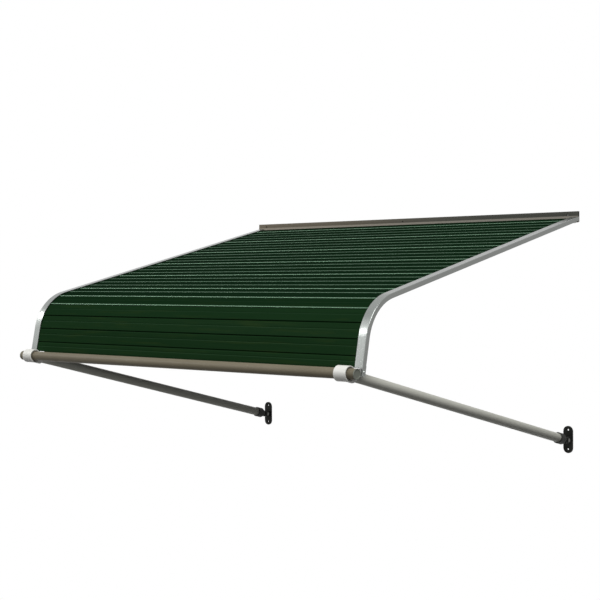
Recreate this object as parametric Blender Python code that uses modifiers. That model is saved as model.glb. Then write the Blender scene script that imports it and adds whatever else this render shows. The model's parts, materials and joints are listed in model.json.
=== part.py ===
"""Slat door canopy: roll-formed slats in two bent side rails, a header and two stay arms.

The frame has its origin in the middle of the header's back face, which lies on the wall.
X runs along the width, -Y runs out from the wall and +Z is up. All sizes are in metres.
"""
import math

import bmesh
import bpy
from mathutils import Matrix, Vector

# Clearance between neighbouring pieces
GAP = 0.0003

# Header, a thin hood along the canopy's upper edge
HEADER_LENGTH = 1.2192
HEADER_HEIGHT = 0.0298
HEADER_WALL = 0.0018
HEADER_DEPTH = 0.0070
HEADER_FACE_HEIGHT = 0.0128
HEADER_LIP_OUT = 0.0045
HEADER_LIP_DOWN = 0.0066
HEADER_SHELF_DEPTH = 0.0100
HEADER_HOLE_RADIUS = 0.0024
HEADER_HOLE_INSET = 0.0346
HEADER_HOLE_RISE = 0.0055

# Side rails, U-channels that open towards the slats
RAIL_FLANGE_WIDTH = 0.0240
RAIL_DEPTH = 0.0125
RAIL_WALL = 0.0016
RAIL_TOP_BELOW_HEADER_TOP = 0.0138
RAIL_SLOPE = math.radians(13.6)
RAIL_LEAN = math.radians(11.5)
RAIL_BEND_RADIUS = 0.1285
RAIL_SLOPE_LENGTH = 0.8672
RAIL_DROP_LENGTH = 0.0695
RAIL_TAB_LENGTH = 0.0180
RAIL_BEND_STEPS = 12

# Slats, a folded sheet with a hook along its upper edge and a nose along its lower edge
SLAT_COUNT = 27
SLAT_SHEET = 0.0008
SLAT_FACE_DEPTH = 0.0025
SLAT_HINGE_DEPTH = 0.0050
SLAT_TOP_MARGIN = 0.0085
BOTTOM_SLAT_WIDTH = 0.0278
SLAT_NOSE_INSET = 0.0005
SLAT_NOSE_DROP = 0.0041
SLAT_NOSE_RETURN = 0.0025
SLAT_RISER_INSET = 0.0019
SLAT_HOOK_REACH = 0.0040
SLAT_HOOK_DEPTH = 0.0061
SLAT_TIP_LENGTH = 0.0021
SLAT_TIP_DEPTH = 0.0025
SLAT_BEAD_WIDTH = 0.0030
SLAT_BEAD_DEPTH = 0.0007
SLAT_BEAD_SHARE = 0.36
SLAT_CORNER_RADIUS = 0.0007

# Front bar, arms and their slip tees
TUBE_RADIUS = 0.0127
TUBE_WALL = 0.0016
BAR_OVERHANG = 0.0007
BAR_STANDOFF = 0.0215
BAR_BELOW_RAIL = 0.0125
CAP_FLANGE = 0.0025
CAP_PLUG_LENGTH = 0.0060
CAP_RECESS_DEPTH = 0.0010
CAP_RIM = 0.0022
ARM_INSET = 0.0346
TEE_RADIUS = 0.0185
TEE_LENGTH = 0.0360
TEE_MOUTH_RADIUS = 0.0153
TEE_MOUTH_DEPTH = 0.0040
TEE_BRANCH_RADIUS = 0.0168
TEE_BRANCH_LENGTH = 0.0320
TEE_WEB = 0.0016
SET_SCREW_RADIUS = 0.0024

# Brackets, 76 mm oblong plates that carry the arms
BRACKET_BELOW_BAR = 0.2390
PLATE_HEIGHT = 0.0762
PLATE_WIDTH = 0.0290
PLATE_THICKNESS = 0.0050
PLATE_HOLE_RADIUS = 0.0026
PLATE_HOLE_INSET = 0.0110
PIVOT_FROM_WALL = 0.0190
EAR_RADIUS = 0.0095
EAR_THICKNESS = 0.0045
TONGUE_THICKNESS = 0.0090
PIVOT_RADIUS = 0.0030
PIVOT_HEAD_RADIUS = 0.0056
PIVOT_HEAD_HEIGHT = 0.0036
NUT_HEIGHT = 0.0042
CUP_MOUTH_FROM_PIVOT = 0.0440
CUP_SOCKET_DEPTH = 0.0200
CUP_WALL = 0.0026
CUP_FLOOR = 0.0030

# Bar brackets, folded plates that join the rails' tabs to the bar
BAR_BRACKET_SHEET = 0.0016
BAR_BRACKET_HEIGHT = 0.0165
BAR_BRACKET_WIDTH = 0.0125
SCREW_RADIUS = 0.0018
SCREW_HEAD_RADIUS = 0.0036
SCREW_HEAD_TOP_RADIUS = 0.0025
SCREW_HEAD_HEIGHT = 0.0018
SCREW_REACH = 0.0036

# Mesh detail
ROUND_SEGMENTS = 28
SMALL_SEGMENTS = 12
HEX_SEGMENTS = 6
SMOOTH_ANGLE = math.radians(35)
FLAT_ANGLE = math.radians(0.5)
CORNER_SHARE = 0.45
WELD_DISTANCE = 1e-6

# Cutters reach this far past a face, and a hole's cutter is this many walls long
CUT = 0.0010
THROUGH = 4

# Places worked out from the sizes
RAIL_START_Y = -(HEADER_WALL + GAP)
BEND_ANGLE = math.pi / 2 - RAIL_LEAN - RAIL_SLOPE
RAIL_HALF_SPAN = HEADER_LENGTH / 2
HEADER_HOLE_SPACING = RAIL_HALF_SPAN - HEADER_HOLE_INSET
ARM_SPACING = RAIL_HALF_SPAN - ARM_INSET
BAR_LENGTH = HEADER_LENGTH + 2 * BAR_OVERHANG
CHANNEL_HALF_WIDTH = RAIL_HALF_SPAN - RAIL_WALL
SLAT_LENGTH = 2 * (CHANNEL_HALF_WIDTH - GAP)
BAR_BORE_RADIUS = TUBE_RADIUS + GAP
PLUG_RADIUS = TUBE_RADIUS - TUBE_WALL - GAP


def clear_scene():
    """Removes whatever the scene held before."""
    for old in list(bpy.data.objects):
        bpy.data.objects.remove(old, do_unlink=True)


def new_collection(name):
    """Adds a collection to the scene and returns it."""
    collection = bpy.data.collections.new(name)
    bpy.context.scene.collection.children.link(collection)
    return collection


clear_scene()
PARTS = new_collection("slat_door_canopy")
CUTTERS = new_collection("cutters")


def finish(name, colour, roughness, metallic):
    """One plain surface for one sub-part."""
    material = bpy.data.materials.new(name)
    material.use_nodes = True
    shader = material.node_tree.nodes["Principled BSDF"]
    shader.inputs["Base Color"].default_value = (*colour, 1.0)
    shader.inputs["Roughness"].default_value = roughness
    shader.inputs["Metallic"].default_value = metallic
    return material


def slat_finish(name):
    """Dark green enamel."""
    return finish(name, (0.012, 0.040, 0.017), 0.32, 0.0)


def rail_finish(name):
    """Satin extruded aluminium."""
    return finish(name, (0.55, 0.57, 0.56), 0.38, 0.6)


def header_finish(name):
    """Dull mill aluminium."""
    return finish(name, (0.17, 0.16, 0.15), 0.42, 0.7)


def tube_finish(name):
    """Drawn aluminium tube."""
    return finish(name, (0.36, 0.35, 0.31), 0.30, 0.8)


def tee_finish(name):
    """Pale moulded plastic."""
    return finish(name, (0.70, 0.71, 0.68), 0.35, 0.0)


def cast_finish(name):
    """Black enamel on a casting."""
    return finish(name, (0.018, 0.019, 0.018), 0.40, 0.2)


def screw_finish(name):
    """Bright plated steel."""
    return finish(name, (0.45, 0.45, 0.44), 0.35, 1.0)


def link(name, data, collection, location=(0.0, 0.0, 0.0)):
    """Makes an object from a mesh or curve and links it to one collection."""
    part = bpy.data.objects.new(name, data)
    part.location = location
    collection.objects.link(part)
    return part


def paint(part, make_finish):
    """Gives a part its own material, shades it smooth and keeps its hard edges sharp."""
    part.data.materials.clear()
    part.data.materials.append(make_finish(part.name + "_finish"))
    part.data.shade_smooth()
    part.data.set_sharp_from_angle(angle=SMOOTH_ANGLE)
    return part


def turn_to(direction):
    """The rotation that takes +Z to a direction."""
    return Vector(direction).to_track_quat("Z", "Y").to_matrix().to_4x4()


def cylinder(name, radius, length, middle, direction, origin, top_radius=None, segments=ROUND_SEGMENTS):
    """A cylinder or cone about a direction, with its middle in the world and its origin kept apart."""
    mesh = bpy.data.meshes.new(name)
    shape = bmesh.new()
    place = Matrix.Translation(Vector(middle) - Vector(origin)) @ turn_to(direction)
    end_radius = radius if top_radius is None else top_radius
    bmesh.ops.create_cone(shape, cap_ends=True, segments=segments, radius1=radius, radius2=end_radius,
                          depth=length, matrix=place)
    shape.to_mesh(mesh)
    shape.free()
    return link(name, mesh, PARTS, origin)


def box(name, low, high, origin, turn=None, about=None):
    """A box between two corners, turned about a point if a rotation is given."""
    mesh = bpy.data.meshes.new(name)
    shape = bmesh.new()
    low, high = Vector(low), Vector(high)
    size = high - low
    place = Matrix.Translation((low + high) / 2) @ Matrix.Diagonal((*size, 1.0))
    if turn is not None:
        place = Matrix.Translation(about) @ turn @ Matrix.Translation(-Vector(about)) @ place
    bmesh.ops.create_cube(shape, size=1.0, matrix=Matrix.Translation(-Vector(origin)) @ place)
    shape.to_mesh(mesh)
    shape.free()
    return link(name, mesh, PARTS, origin)


def as_cutter(tool):
    """Moves an object to the cutters and hides it from the finished model."""
    for collection in list(tool.users_collection):
        collection.objects.unlink(tool)
    CUTTERS.objects.link(tool)
    tool.hide_render = True
    tool.display_type = "WIRE"
    return tool


def combine(part, tool, operation):
    """Adds an exact Boolean of one tool to a part."""
    modifier = part.modifiers.new(operation.lower() + "_" + tool.name, "BOOLEAN")
    modifier.operation = operation
    modifier.solver = "EXACT"
    modifier.object = as_cutter(tool)
    return part


def join(part, *tools):
    """Adds each tool's solid to a part."""
    for tool in tools:
        combine(part, tool, "UNION")
    return part


def cut(part, *tools):
    """Takes each tool's solid away from a part."""
    for tool in tools:
        combine(part, tool, "DIFFERENCE")
    return part


def curve_as_mesh(source, name, collection=PARTS):
    """Turns a curve object into a welded mesh object, so that it can be cut."""
    depsgraph = bpy.context.evaluated_depsgraph_get()
    mesh = bpy.data.meshes.new_from_object(source.evaluated_get(depsgraph))
    shape = bmesh.new()
    shape.from_mesh(mesh)
    bmesh.ops.remove_doubles(shape, verts=shape.verts, dist=WELD_DISTANCE)
    bmesh.ops.recalc_face_normals(shape, faces=shape.faces)
    shape.to_mesh(mesh)
    shape.free()
    part = link(name, mesh, collection)
    part.matrix_world = source.matrix_world
    bpy.data.objects.remove(source, do_unlink=True)
    return part


def flat_curve(name, points, cyclic):
    """A flat curve's data, with straight runs between its points."""
    curve = bpy.data.curves.new(name, "CURVE")
    curve.dimensions = "2D"
    spline = curve.splines.new("POLY")
    spline.points.add(len(points) - 1)
    for point, place in zip(spline.points, points):
        point.co = (*place, 0.0, 1.0)
    spline.use_cyclic_u = cyclic
    return curve


def side_outline(name, points, half_width, middle_x):
    """A flat outline of (y, z) points, extruded along X to both sides of middle_x."""
    curve = flat_curve(name + "_outline", points, True)
    curve.fill_mode = "BOTH"
    curve.extrude = half_width
    source = link(name + "_outline", curve, PARTS)
    source.matrix_world = Matrix.Translation((middle_x, 0, 0)) @ side_frame()
    bpy.context.view_layer.update()
    return merge_flat_faces(curve_as_mesh(source, name))


def merge_flat_faces(part):
    """Merges the triangles of each flat face into one face, so that later cuts stay clean."""
    shape = bmesh.new()
    shape.from_mesh(part.data)
    bmesh.ops.dissolve_limit(shape, angle_limit=FLAT_ANGLE, verts=shape.verts, edges=shape.edges)
    shape.to_mesh(part.data)
    shape.free()
    return part


def side_frame():
    """Takes a drawing's x, y and z to the world's Y, Z and X."""
    return Matrix(((0, 0, 1, 0), (1, 0, 0, 0), (0, 1, 0, 0), (0, 0, 0, 1)))


def eased(points, radius):
    """Eases the inner corners of an open run of points with a short flat."""
    out = [points[0]]
    for before, corner, after in zip(points, points[1:], points[2:]):
        corner = Vector(corner)
        back = Vector(before) - corner
        ahead = Vector(after) - corner
        turn = math.pi - back.angle(ahead)
        trim = min(radius * math.tan(turn / 2), back.length * CORNER_SHARE, ahead.length * CORNER_SHARE)
        out.append(tuple(corner + back.normalized() * trim))
        out.append(tuple(corner + ahead.normalized() * trim))
    out.append(points[-1])
    return out


def canopy_place(run, depth):
    """The place in y and z and the fall from level, at a run along the rails' outer face and a depth inside."""
    start_z = HEADER_HEIGHT / 2 - RAIL_TOP_BELOW_HEADER_TOP + RAIL_START_Y * math.tan(RAIL_SLOPE)
    bend_run = RAIL_BEND_RADIUS * BEND_ANGLE
    on_slope = min(run, RAIL_SLOPE_LENGTH)
    turned = min(max(run - RAIL_SLOPE_LENGTH, 0.0), bend_run) / RAIL_BEND_RADIUS
    on_drop = max(run - RAIL_SLOPE_LENGTH - bend_run, 0.0)
    y = RAIL_START_Y - on_slope * math.cos(RAIL_SLOPE)
    z = start_z - on_slope * math.sin(RAIL_SLOPE)
    fall = RAIL_SLOPE + turned
    y -= RAIL_BEND_RADIUS * (math.sin(fall) - math.sin(RAIL_SLOPE))
    z -= RAIL_BEND_RADIUS * (math.cos(RAIL_SLOPE) - math.cos(fall))
    y -= on_drop * math.cos(fall)
    z -= on_drop * math.sin(fall)
    return y + depth * math.sin(fall), z - depth * math.cos(fall), fall


RAIL_RUN = RAIL_SLOPE_LENGTH + RAIL_BEND_RADIUS * BEND_ANGLE + RAIL_DROP_LENGTH
RAIL_END_Y, RAIL_END_Z, RAIL_END_FALL = canopy_place(RAIL_RUN, 0.0)
BAR_Y = RAIL_END_Y - BAR_STANDOFF - BAR_BELOW_RAIL * math.tan(RAIL_LEAN)
BAR_Z = RAIL_END_Z - BAR_BELOW_RAIL
PIVOT_Y = -PIVOT_FROM_WALL
PIVOT_Z = BAR_Z - BRACKET_BELOW_BAR
ARM_DIRECTION = (Vector((0, PIVOT_Y, PIVOT_Z)) - Vector((0, BAR_Y, BAR_Z))).normalized()
ARM_SPAN = (Vector((0, PIVOT_Y, PIVOT_Z)) - Vector((0, BAR_Y, BAR_Z))).length
CUP_FLOOR_FROM_BAR = ARM_SPAN - CUP_MOUTH_FROM_PIVOT + CUP_SOCKET_DEPTH


def along_arm(side, distance):
    """A place on an arm's axis, measured from the bar's axis towards the bracket."""
    return Vector((side * ARM_SPACING, BAR_Y, BAR_Z)) + ARM_DIRECTION * distance


def make_header():
    """The header: a hood over the slats' upper edge, with a shelf under the rails."""
    top = HEADER_HEIGHT / 2
    wall = HEADER_WALL
    face_y = -HEADER_DEPTH
    lip_z = top - HEADER_FACE_HEIGHT
    lip_y, lip_end_z = face_y - HEADER_LIP_OUT, lip_z - HEADER_LIP_DOWN
    lip_angle = math.atan2(HEADER_LIP_OUT, HEADER_LIP_DOWN)
    slope = math.tan(RAIL_SLOPE)
    shelf_y, shelf_end_z = -HEADER_SHELF_DEPTH, -HEADER_HEIGHT / 2
    shelf_z = shelf_end_z + HEADER_SHELF_DEPTH * slope
    outline = [
        (0.0, top),
        (face_y, top),
        (face_y, lip_z),
        (lip_y, lip_end_z),
        (lip_y + wall * math.cos(lip_angle), lip_end_z - wall * math.sin(lip_angle)),
        (face_y + wall, lip_z - wall * math.tan(lip_angle / 2)),
        (face_y + wall, top - wall),
        (-wall, top - wall),
        (-wall, shelf_z - wall * slope),
        (shelf_y, shelf_end_z),
        (shelf_y, shelf_end_z - wall),
        (0.0, shelf_z - wall),
    ]
    header = side_outline("header", outline, HEADER_LENGTH / 2, 0.0)
    for number, x in enumerate((-HEADER_HOLE_SPACING, 0.0, HEADER_HOLE_SPACING)):
        place = (x, face_y / 2, HEADER_HOLE_RISE)
        cut(header, cylinder(f"header_hole_{number}", HEADER_HOLE_RADIUS, THROUGH * HEADER_DEPTH, place,
                             (0, 1, 0), (0, 0, 0), segments=SMALL_SEGMENTS))
    for side in (-1, 1):
        cut(header, rail_notch(side))
        cut(header, shelf_screw_hole(side))
    return paint(header, header_finish)


def upright_start(depth):
    """The run at which a depth inside the rails' outer face meets their upright start."""
    return depth * math.tan(RAIL_SLOPE)


def rail_notch(side):
    """Frees the header's lip where a rail's outer flange passes under it."""
    past_lip = HEADER_DEPTH + HEADER_LIP_OUT + CUT
    top, bottom = -GAP, RAIL_DEPTH + GAP
    outline = [
        canopy_place(upright_start(top), top)[:2],
        canopy_place(past_lip, top)[:2],
        canopy_place(past_lip, bottom)[:2],
        canopy_place(upright_start(bottom), bottom)[:2],
    ]
    half_width = (RAIL_FLANGE_WIDTH + GAP + CUT) / 2
    return side_outline(f"rail_notch_{side}", outline, half_width, side * (RAIL_HALF_SPAN + CUT - half_width))


def shelf_screw_place(side):
    """Where a rail's screw passes the header's shelf: the middle of the shelf, below the rail."""
    shelf_middle = -(HEADER_SHELF_DEPTH + HEADER_WALL) / 2
    run = (RAIL_START_Y - shelf_middle) / math.cos(RAIL_SLOPE) + upright_start(RAIL_DEPTH)
    y, z, fall = canopy_place(run, RAIL_DEPTH)
    x = side * (RAIL_HALF_SPAN - RAIL_FLANGE_WIDTH / 2)
    return Vector((x, y, z)), Vector((0, math.sin(fall), -math.cos(fall)))


def shelf_screw_hole(side):
    """The cutter of a rail screw's hole in the header's shelf."""
    place, down = shelf_screw_place(side)
    return cylinder(f"shelf_screw_hole_{side}", SCREW_RADIUS + GAP, THROUGH * HEADER_WALL,
                    place + down * HEADER_WALL, down, (0, 0, 0), segments=SMALL_SEGMENTS)


def rail_runs():
    """The runs along a rail at which its outline has a corner, with the bend in short steps."""
    bend_run = RAIL_BEND_RADIUS * BEND_ANGLE
    in_bend = [RAIL_SLOPE_LENGTH + bend_run * step / RAIL_BEND_STEPS for step in range(RAIL_BEND_STEPS + 1)]
    return [0.0] + in_bend + [RAIL_RUN + RAIL_TAB_LENGTH]


def make_rail(name, side):
    """A U-channel bent along the canopy's profile, with its outer web left long as a tab."""
    inner_runs = [upright_start(RAIL_DEPTH)] + rail_runs()[1:]
    outer = [canopy_place(run, 0.0)[:2] for run in rail_runs()]
    inner = [canopy_place(run, RAIL_DEPTH)[:2] for run in reversed(inner_runs)]
    middle = RAIL_HALF_SPAN - RAIL_FLANGE_WIDTH / 2
    rail = side_outline(name, outer + inner, RAIL_FLANGE_WIDTH / 2, side * middle)
    hollow_middle = side * (middle - RAIL_WALL)
    cut(rail, side_outline(name + "_hollow", hollow_outline(), RAIL_FLANGE_WIDTH / 2, hollow_middle))
    cut(rail, tab_screw_hole(side))
    place, down = shelf_screw_place(side)
    cut(rail, cylinder(name + "_shelf_hole", SCREW_RADIUS + GAP, THROUGH * RAIL_WALL, place, down, (0, 0, 0),
                       segments=SMALL_SEGMENTS))
    return paint(rail, rail_finish)


def hollow_outline():
    """The channel's hollow, which takes both flanges off below the channel's end and leaves the tab."""
    runs = [-CUT] + rail_runs()[1:-1] + [RAIL_RUN]
    tab_end = RAIL_RUN + RAIL_TAB_LENGTH + CUT
    outer = [canopy_place(run, RAIL_WALL)[:2] for run in runs]
    inner = [canopy_place(run, RAIL_DEPTH - RAIL_WALL)[:2] for run in reversed(runs)]
    past_tab = [
        canopy_place(RAIL_RUN, -CUT)[:2],
        canopy_place(tab_end, -CUT)[:2],
        canopy_place(tab_end, RAIL_DEPTH + CUT)[:2],
        canopy_place(RAIL_RUN, RAIL_DEPTH + CUT)[:2],
    ]
    return outer + past_tab + inner


def slat_section(width):
    """The slat's sheet as (along, out) points about its upper hinge line, from hook tip to nose return."""
    face = SLAT_HINGE_DEPTH - SLAT_FACE_DEPTH
    hook = face - SLAT_HOOK_DEPTH
    tip = face - SLAT_TIP_DEPTH
    nose = width - SLAT_NOSE_INSET
    bead = SLAT_RISER_INSET + (nose - SLAT_RISER_INSET) * SLAT_BEAD_SHARE
    run = [
        (-SLAT_HOOK_REACH + SLAT_TIP_LENGTH, tip),
        (-SLAT_HOOK_REACH, tip),
        (-SLAT_HOOK_REACH, hook),
        (SLAT_RISER_INSET, hook),
        (SLAT_RISER_INSET, face - SLAT_BEAD_DEPTH),
        (SLAT_RISER_INSET + SLAT_BEAD_WIDTH, face),
        (bead, face),
        (bead + SLAT_BEAD_WIDTH / 2, face - SLAT_BEAD_DEPTH),
        (bead + SLAT_BEAD_WIDTH, face),
        (nose, face),
        (nose, face - SLAT_NOSE_DROP),
        (nose - SLAT_NOSE_RETURN, face - SLAT_NOSE_DROP),
    ]
    return eased(run, SLAT_CORNER_RADIUS)


def slat_mesh(name, width):
    """A slat's section drawn out along its length, as a curve's ribbon made solid by its sheet thickness."""
    curve = flat_curve(name, slat_section(width), False)
    curve.fill_mode = "NONE"
    curve.extrude = SLAT_LENGTH / 2
    source = link(name + "_ribbon", curve, CUTTERS)
    sheet = source.modifiers.new("sheet", "SOLIDIFY")
    sheet.thickness = SLAT_SHEET
    sheet.offset = 0.0
    sheet.use_even_offset = True
    bpy.context.view_layer.update()
    part = curve_as_mesh(source, name, CUTTERS)
    mesh = part.data
    bpy.data.objects.remove(part, do_unlink=True)
    return mesh


def run_at_depth(run, depth):
    """The outer face's run for a run that was measured along the canopy at a depth inside it."""
    bend_run = (RAIL_BEND_RADIUS - depth) * BEND_ANGLE
    in_bend = min(max(run - RAIL_SLOPE_LENGTH, 0.0), bend_run)
    return run + in_bend * (RAIL_BEND_RADIUS / (RAIL_BEND_RADIUS - depth) - 1)


def hinge_points():
    """The slats' hinge lines from the header down, evenly spaced, and the bottom slat's end."""
    depth = SLAT_HINGE_DEPTH
    end = RAIL_RUN - depth * BEND_ANGLE
    last = end - BOTTOM_SLAT_WIDTH
    pitch = (last - SLAT_TOP_MARGIN) / SLAT_COUNT
    runs = [SLAT_TOP_MARGIN + pitch * number for number in range(SLAT_COUNT + 1)] + [end]
    return [Vector(canopy_place(run_at_depth(run, depth), depth)[:2]) for run in runs]


def make_slats():
    """The full slats, which share one section, and the narrower one at the bottom."""
    points = hinge_points()
    full = slat_mesh("slat_sheet", (points[1] - points[0]).length)
    bottom = slat_mesh("bottom_slat_sheet", (points[-1] - points[-2]).length)
    for number, (start, end) in enumerate(zip(points, points[1:]), start=1):
        last = number == len(points) - 1
        name = "bottom_slat" if last else f"slat_{number:02d}"
        mesh = (bottom if last else full).copy()
        along = (end - start).normalized()
        out = Vector((along.y, -along.x))
        slat = link(name, mesh, PARTS)
        slat.matrix_world = Matrix(((0, 0, 1, 0), (along.x, out.x, 0, start.x), (along.y, out.y, 0, start.y),
                                    (0, 0, 0, 1)))
        paint(slat, slat_finish)


def make_bar():
    """The front bar, a round tube, and the two plugs that close its ends."""
    middle = (0.0, BAR_Y, BAR_Z)
    bar = cylinder("front_bar", TUBE_RADIUS, BAR_LENGTH, middle, (1, 0, 0), middle)
    cut(bar, cylinder("front_bar_bore", TUBE_RADIUS - TUBE_WALL, BAR_LENGTH + 2 * CUT, middle, (1, 0, 0),
                      middle))
    for side in (-1, 1):
        place, back = bar_screw_place(side)
        cut(bar, cylinder(f"bar_screw_hole_{side}", SCREW_RADIUS + GAP, THROUGH * TUBE_WALL, place, back,
                          middle, segments=SMALL_SEGMENTS))
    paint(bar, tube_finish)
    for side_name, side in (("left", -1), ("right", 1)):
        make_end_cap("bar_cap_" + side_name, side)


def bar_disc(name, side, near, far, radius, origin):
    """A disc on the bar's axis between two distances from the canopy's middle."""
    middle = (side * (near + far) / 2, BAR_Y, BAR_Z)
    return cylinder(name, radius, far - near, middle, (1, 0, 0), origin)


def make_end_cap(name, side):
    """A plug with a flange as wide as the bar and a shallow recess in its face."""
    end = BAR_LENGTH / 2 + GAP
    face = end + CAP_FLANGE
    origin = (side * end, BAR_Y, BAR_Z)
    recess_radius = TUBE_RADIUS - CAP_RIM
    cap = bar_disc(name, side, end, face, TUBE_RADIUS, origin)
    join(cap, bar_disc(name + "_plug", side, end - CAP_PLUG_LENGTH, end + CAP_FLANGE / 2, PLUG_RADIUS, origin))
    cut(cap, bar_disc(name + "_recess", side, face - CAP_RECESS_DEPTH, face + CUT, recess_radius, origin))
    return paint(cap, cast_finish)


def arm_disc(name, side, near, far, radius, origin, top_radius=None):
    """A cylinder or cone on an arm's axis between two distances from the bar's axis."""
    return cylinder(name, radius, far - near, along_arm(side, (near + far) / 2), ARM_DIRECTION, origin,
                    top_radius=top_radius)


def make_tee(name, side):
    """A slip tee: a collar that turns on the bar and a socket that holds the arm."""
    hub = along_arm(side, 0.0)
    tee = cylinder(name, TEE_RADIUS, TEE_LENGTH, hub, (1, 0, 0), hub)
    join(tee, arm_disc(name + "_branch", side, 0.0, TEE_BRANCH_LENGTH, TEE_BRANCH_RADIUS, hub))
    cut(tee, cylinder(name + "_bore", BAR_BORE_RADIUS, TEE_LENGTH + 2 * CUT, hub, (1, 0, 0), hub))
    for end in (-1, 1):
        middle = hub + Vector((end * (TEE_LENGTH / 2), 0, 0))
        cut(tee, cylinder(f"{name}_mouth_{end}", TEE_MOUTH_RADIUS, 2 * TEE_MOUTH_DEPTH, middle, (1, 0, 0),
                          hub))
    socket_start = BAR_BORE_RADIUS + TEE_WEB
    cut(tee, arm_disc(name + "_socket", side, socket_start, TEE_BRANCH_LENGTH + CUT, BAR_BORE_RADIUS, hub))
    cut(tee, set_screw_hole(name, hub, TEE_RADIUS, hub))
    return paint(tee, tee_finish)


def set_screw_direction():
    """Square to the arm, on its under side."""
    return Vector((0, ARM_DIRECTION.z, -ARM_DIRECTION.y)).normalized()


def set_screw_hole(name, axis_place, outer, origin):
    """The cutter of a set screw's hole through one side of a collar of an outer radius."""
    direction = set_screw_direction()
    return cylinder(name + "_set_screw_hole", SET_SCREW_RADIUS + GAP, outer, axis_place + direction * outer,
                    direction, origin, segments=SMALL_SEGMENTS)


def make_set_screw(name, axis_place, start, end, origin):
    """A socket set screw between two distances from a tube's axis."""
    direction = set_screw_direction()
    middle = axis_place + direction * (start + end) / 2
    screw = cylinder(name, SET_SCREW_RADIUS, end - start, middle, direction, origin, segments=SMALL_SEGMENTS)
    cut(screw, cylinder(name + "_hex", SET_SCREW_RADIUS / 2, (end - start) / 2, axis_place + direction * end,
                        direction, origin, segments=HEX_SEGMENTS))
    return paint(screw, screw_finish)


def make_arm(name, side):
    """The stay arm, a round tube from the tee's socket to the cup's floor."""
    hub = along_arm(side, 0.0)
    start = BAR_BORE_RADIUS + TEE_WEB + GAP
    end = CUP_FLOOR_FROM_BAR - GAP
    arm = arm_disc(name, side, start, end, TUBE_RADIUS, hub)
    cut(arm, arm_disc(name + "_bore", side, start - CUT, end + CUT, TUBE_RADIUS - TUBE_WALL, hub))
    return paint(arm, tube_finish)


def make_cup(name, side):
    """The arm's far end: a cup round the tube, a taper and a flat tongue with the pivot's hole."""
    pivot = along_arm(side, ARM_SPAN)
    outer = BAR_BORE_RADIUS + CUP_WALL
    mouth = CUP_FLOOR_FROM_BAR - CUP_SOCKET_DEPTH
    body_end = CUP_FLOOR_FROM_BAR + CUP_FLOOR
    neck_start = body_end - CUP_FLOOR / 2
    half = TONGUE_THICKNESS / 2
    low = pivot + Vector((-half, -EAR_RADIUS, neck_start - ARM_SPAN))
    high = pivot + Vector((half, EAR_RADIUS, 0.0))
    cup = arm_disc(name, side, mouth, body_end, outer, pivot)
    join(cup, arm_disc(name + "_neck", side, neck_start, ARM_SPAN - EAR_RADIUS - GAP, outer - GAP, pivot,
                       top_radius=EAR_RADIUS))
    join(cup, cylinder(name + "_eye", EAR_RADIUS, TONGUE_THICKNESS, pivot, (1, 0, 0), pivot))
    join(cup, box(name + "_tongue", low, high, pivot, turn=turn_about_x(), about=pivot))
    cut(cup, arm_disc(name + "_bore", side, mouth - CUT, CUP_FLOOR_FROM_BAR, BAR_BORE_RADIUS, pivot))
    cut(cup, cylinder(name + "_pivot_hole", PIVOT_RADIUS + GAP, THROUGH * TONGUE_THICKNESS, pivot,
                      (1, 0, 0), pivot, segments=SMALL_SEGMENTS))
    cut(cup, set_screw_hole(name, along_arm(side, mouth + CUP_SOCKET_DEPTH / 2), outer, pivot))
    return paint(cup, cast_finish)


def turn_about_x():
    """The rotation about X that takes +Z to the arm's direction."""
    return Matrix.Rotation(math.atan2(-ARM_DIRECTION.y, ARM_DIRECTION.z), 4, "X")


def make_wall_bracket(name, side):
    """An oblong plate with two ears that hold the arm's tongue."""
    pivot = along_arm(side, ARM_SPAN)
    half = PLATE_WIDTH / 2
    middle_y = -PLATE_THICKNESS / 2
    straight = PLATE_HEIGHT / 2 - half
    plate = box(name, (pivot.x - half, -PLATE_THICKNESS, pivot.z - straight),
                (pivot.x + half, 0.0, pivot.z + straight), pivot)
    for end in (-1, 1):
        join(plate, cylinder(f"{name}_end_{end}", half, PLATE_THICKNESS,
                             (pivot.x, middle_y, pivot.z + end * straight), (0, 1, 0), pivot))
    for ear in (-1, 1):
        ear_x = pivot.x + ear * (TONGUE_THICKNESS / 2 + GAP + EAR_THICKNESS / 2)
        eye = cylinder(f"{name}_eye_{ear}", EAR_RADIUS, EAR_THICKNESS, (ear_x, pivot.y, pivot.z), (1, 0, 0),
                       pivot)
        root = box(f"{name}_ear_{ear}", (ear_x - EAR_THICKNESS / 2, pivot.y, pivot.z - EAR_RADIUS),
                   (ear_x + EAR_THICKNESS / 2, -PLATE_THICKNESS / 2, pivot.z + EAR_RADIUS), pivot)
        join(plate, eye, root)
    for end in (-1, 1):
        hole_z = pivot.z + end * (PLATE_HEIGHT / 2 - PLATE_HOLE_INSET)
        cut(plate, cylinder(f"{name}_hole_{end}", PLATE_HOLE_RADIUS, THROUGH * PLATE_THICKNESS,
                            (pivot.x, middle_y, hole_z), (0, 1, 0), pivot, segments=SMALL_SEGMENTS))
    cut(plate, cylinder(name + "_pivot_hole", PIVOT_RADIUS + GAP, THROUGH * TONGUE_THICKNESS, pivot,
                        (1, 0, 0), pivot, segments=SMALL_SEGMENTS))
    return paint(plate, cast_finish)


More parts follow.
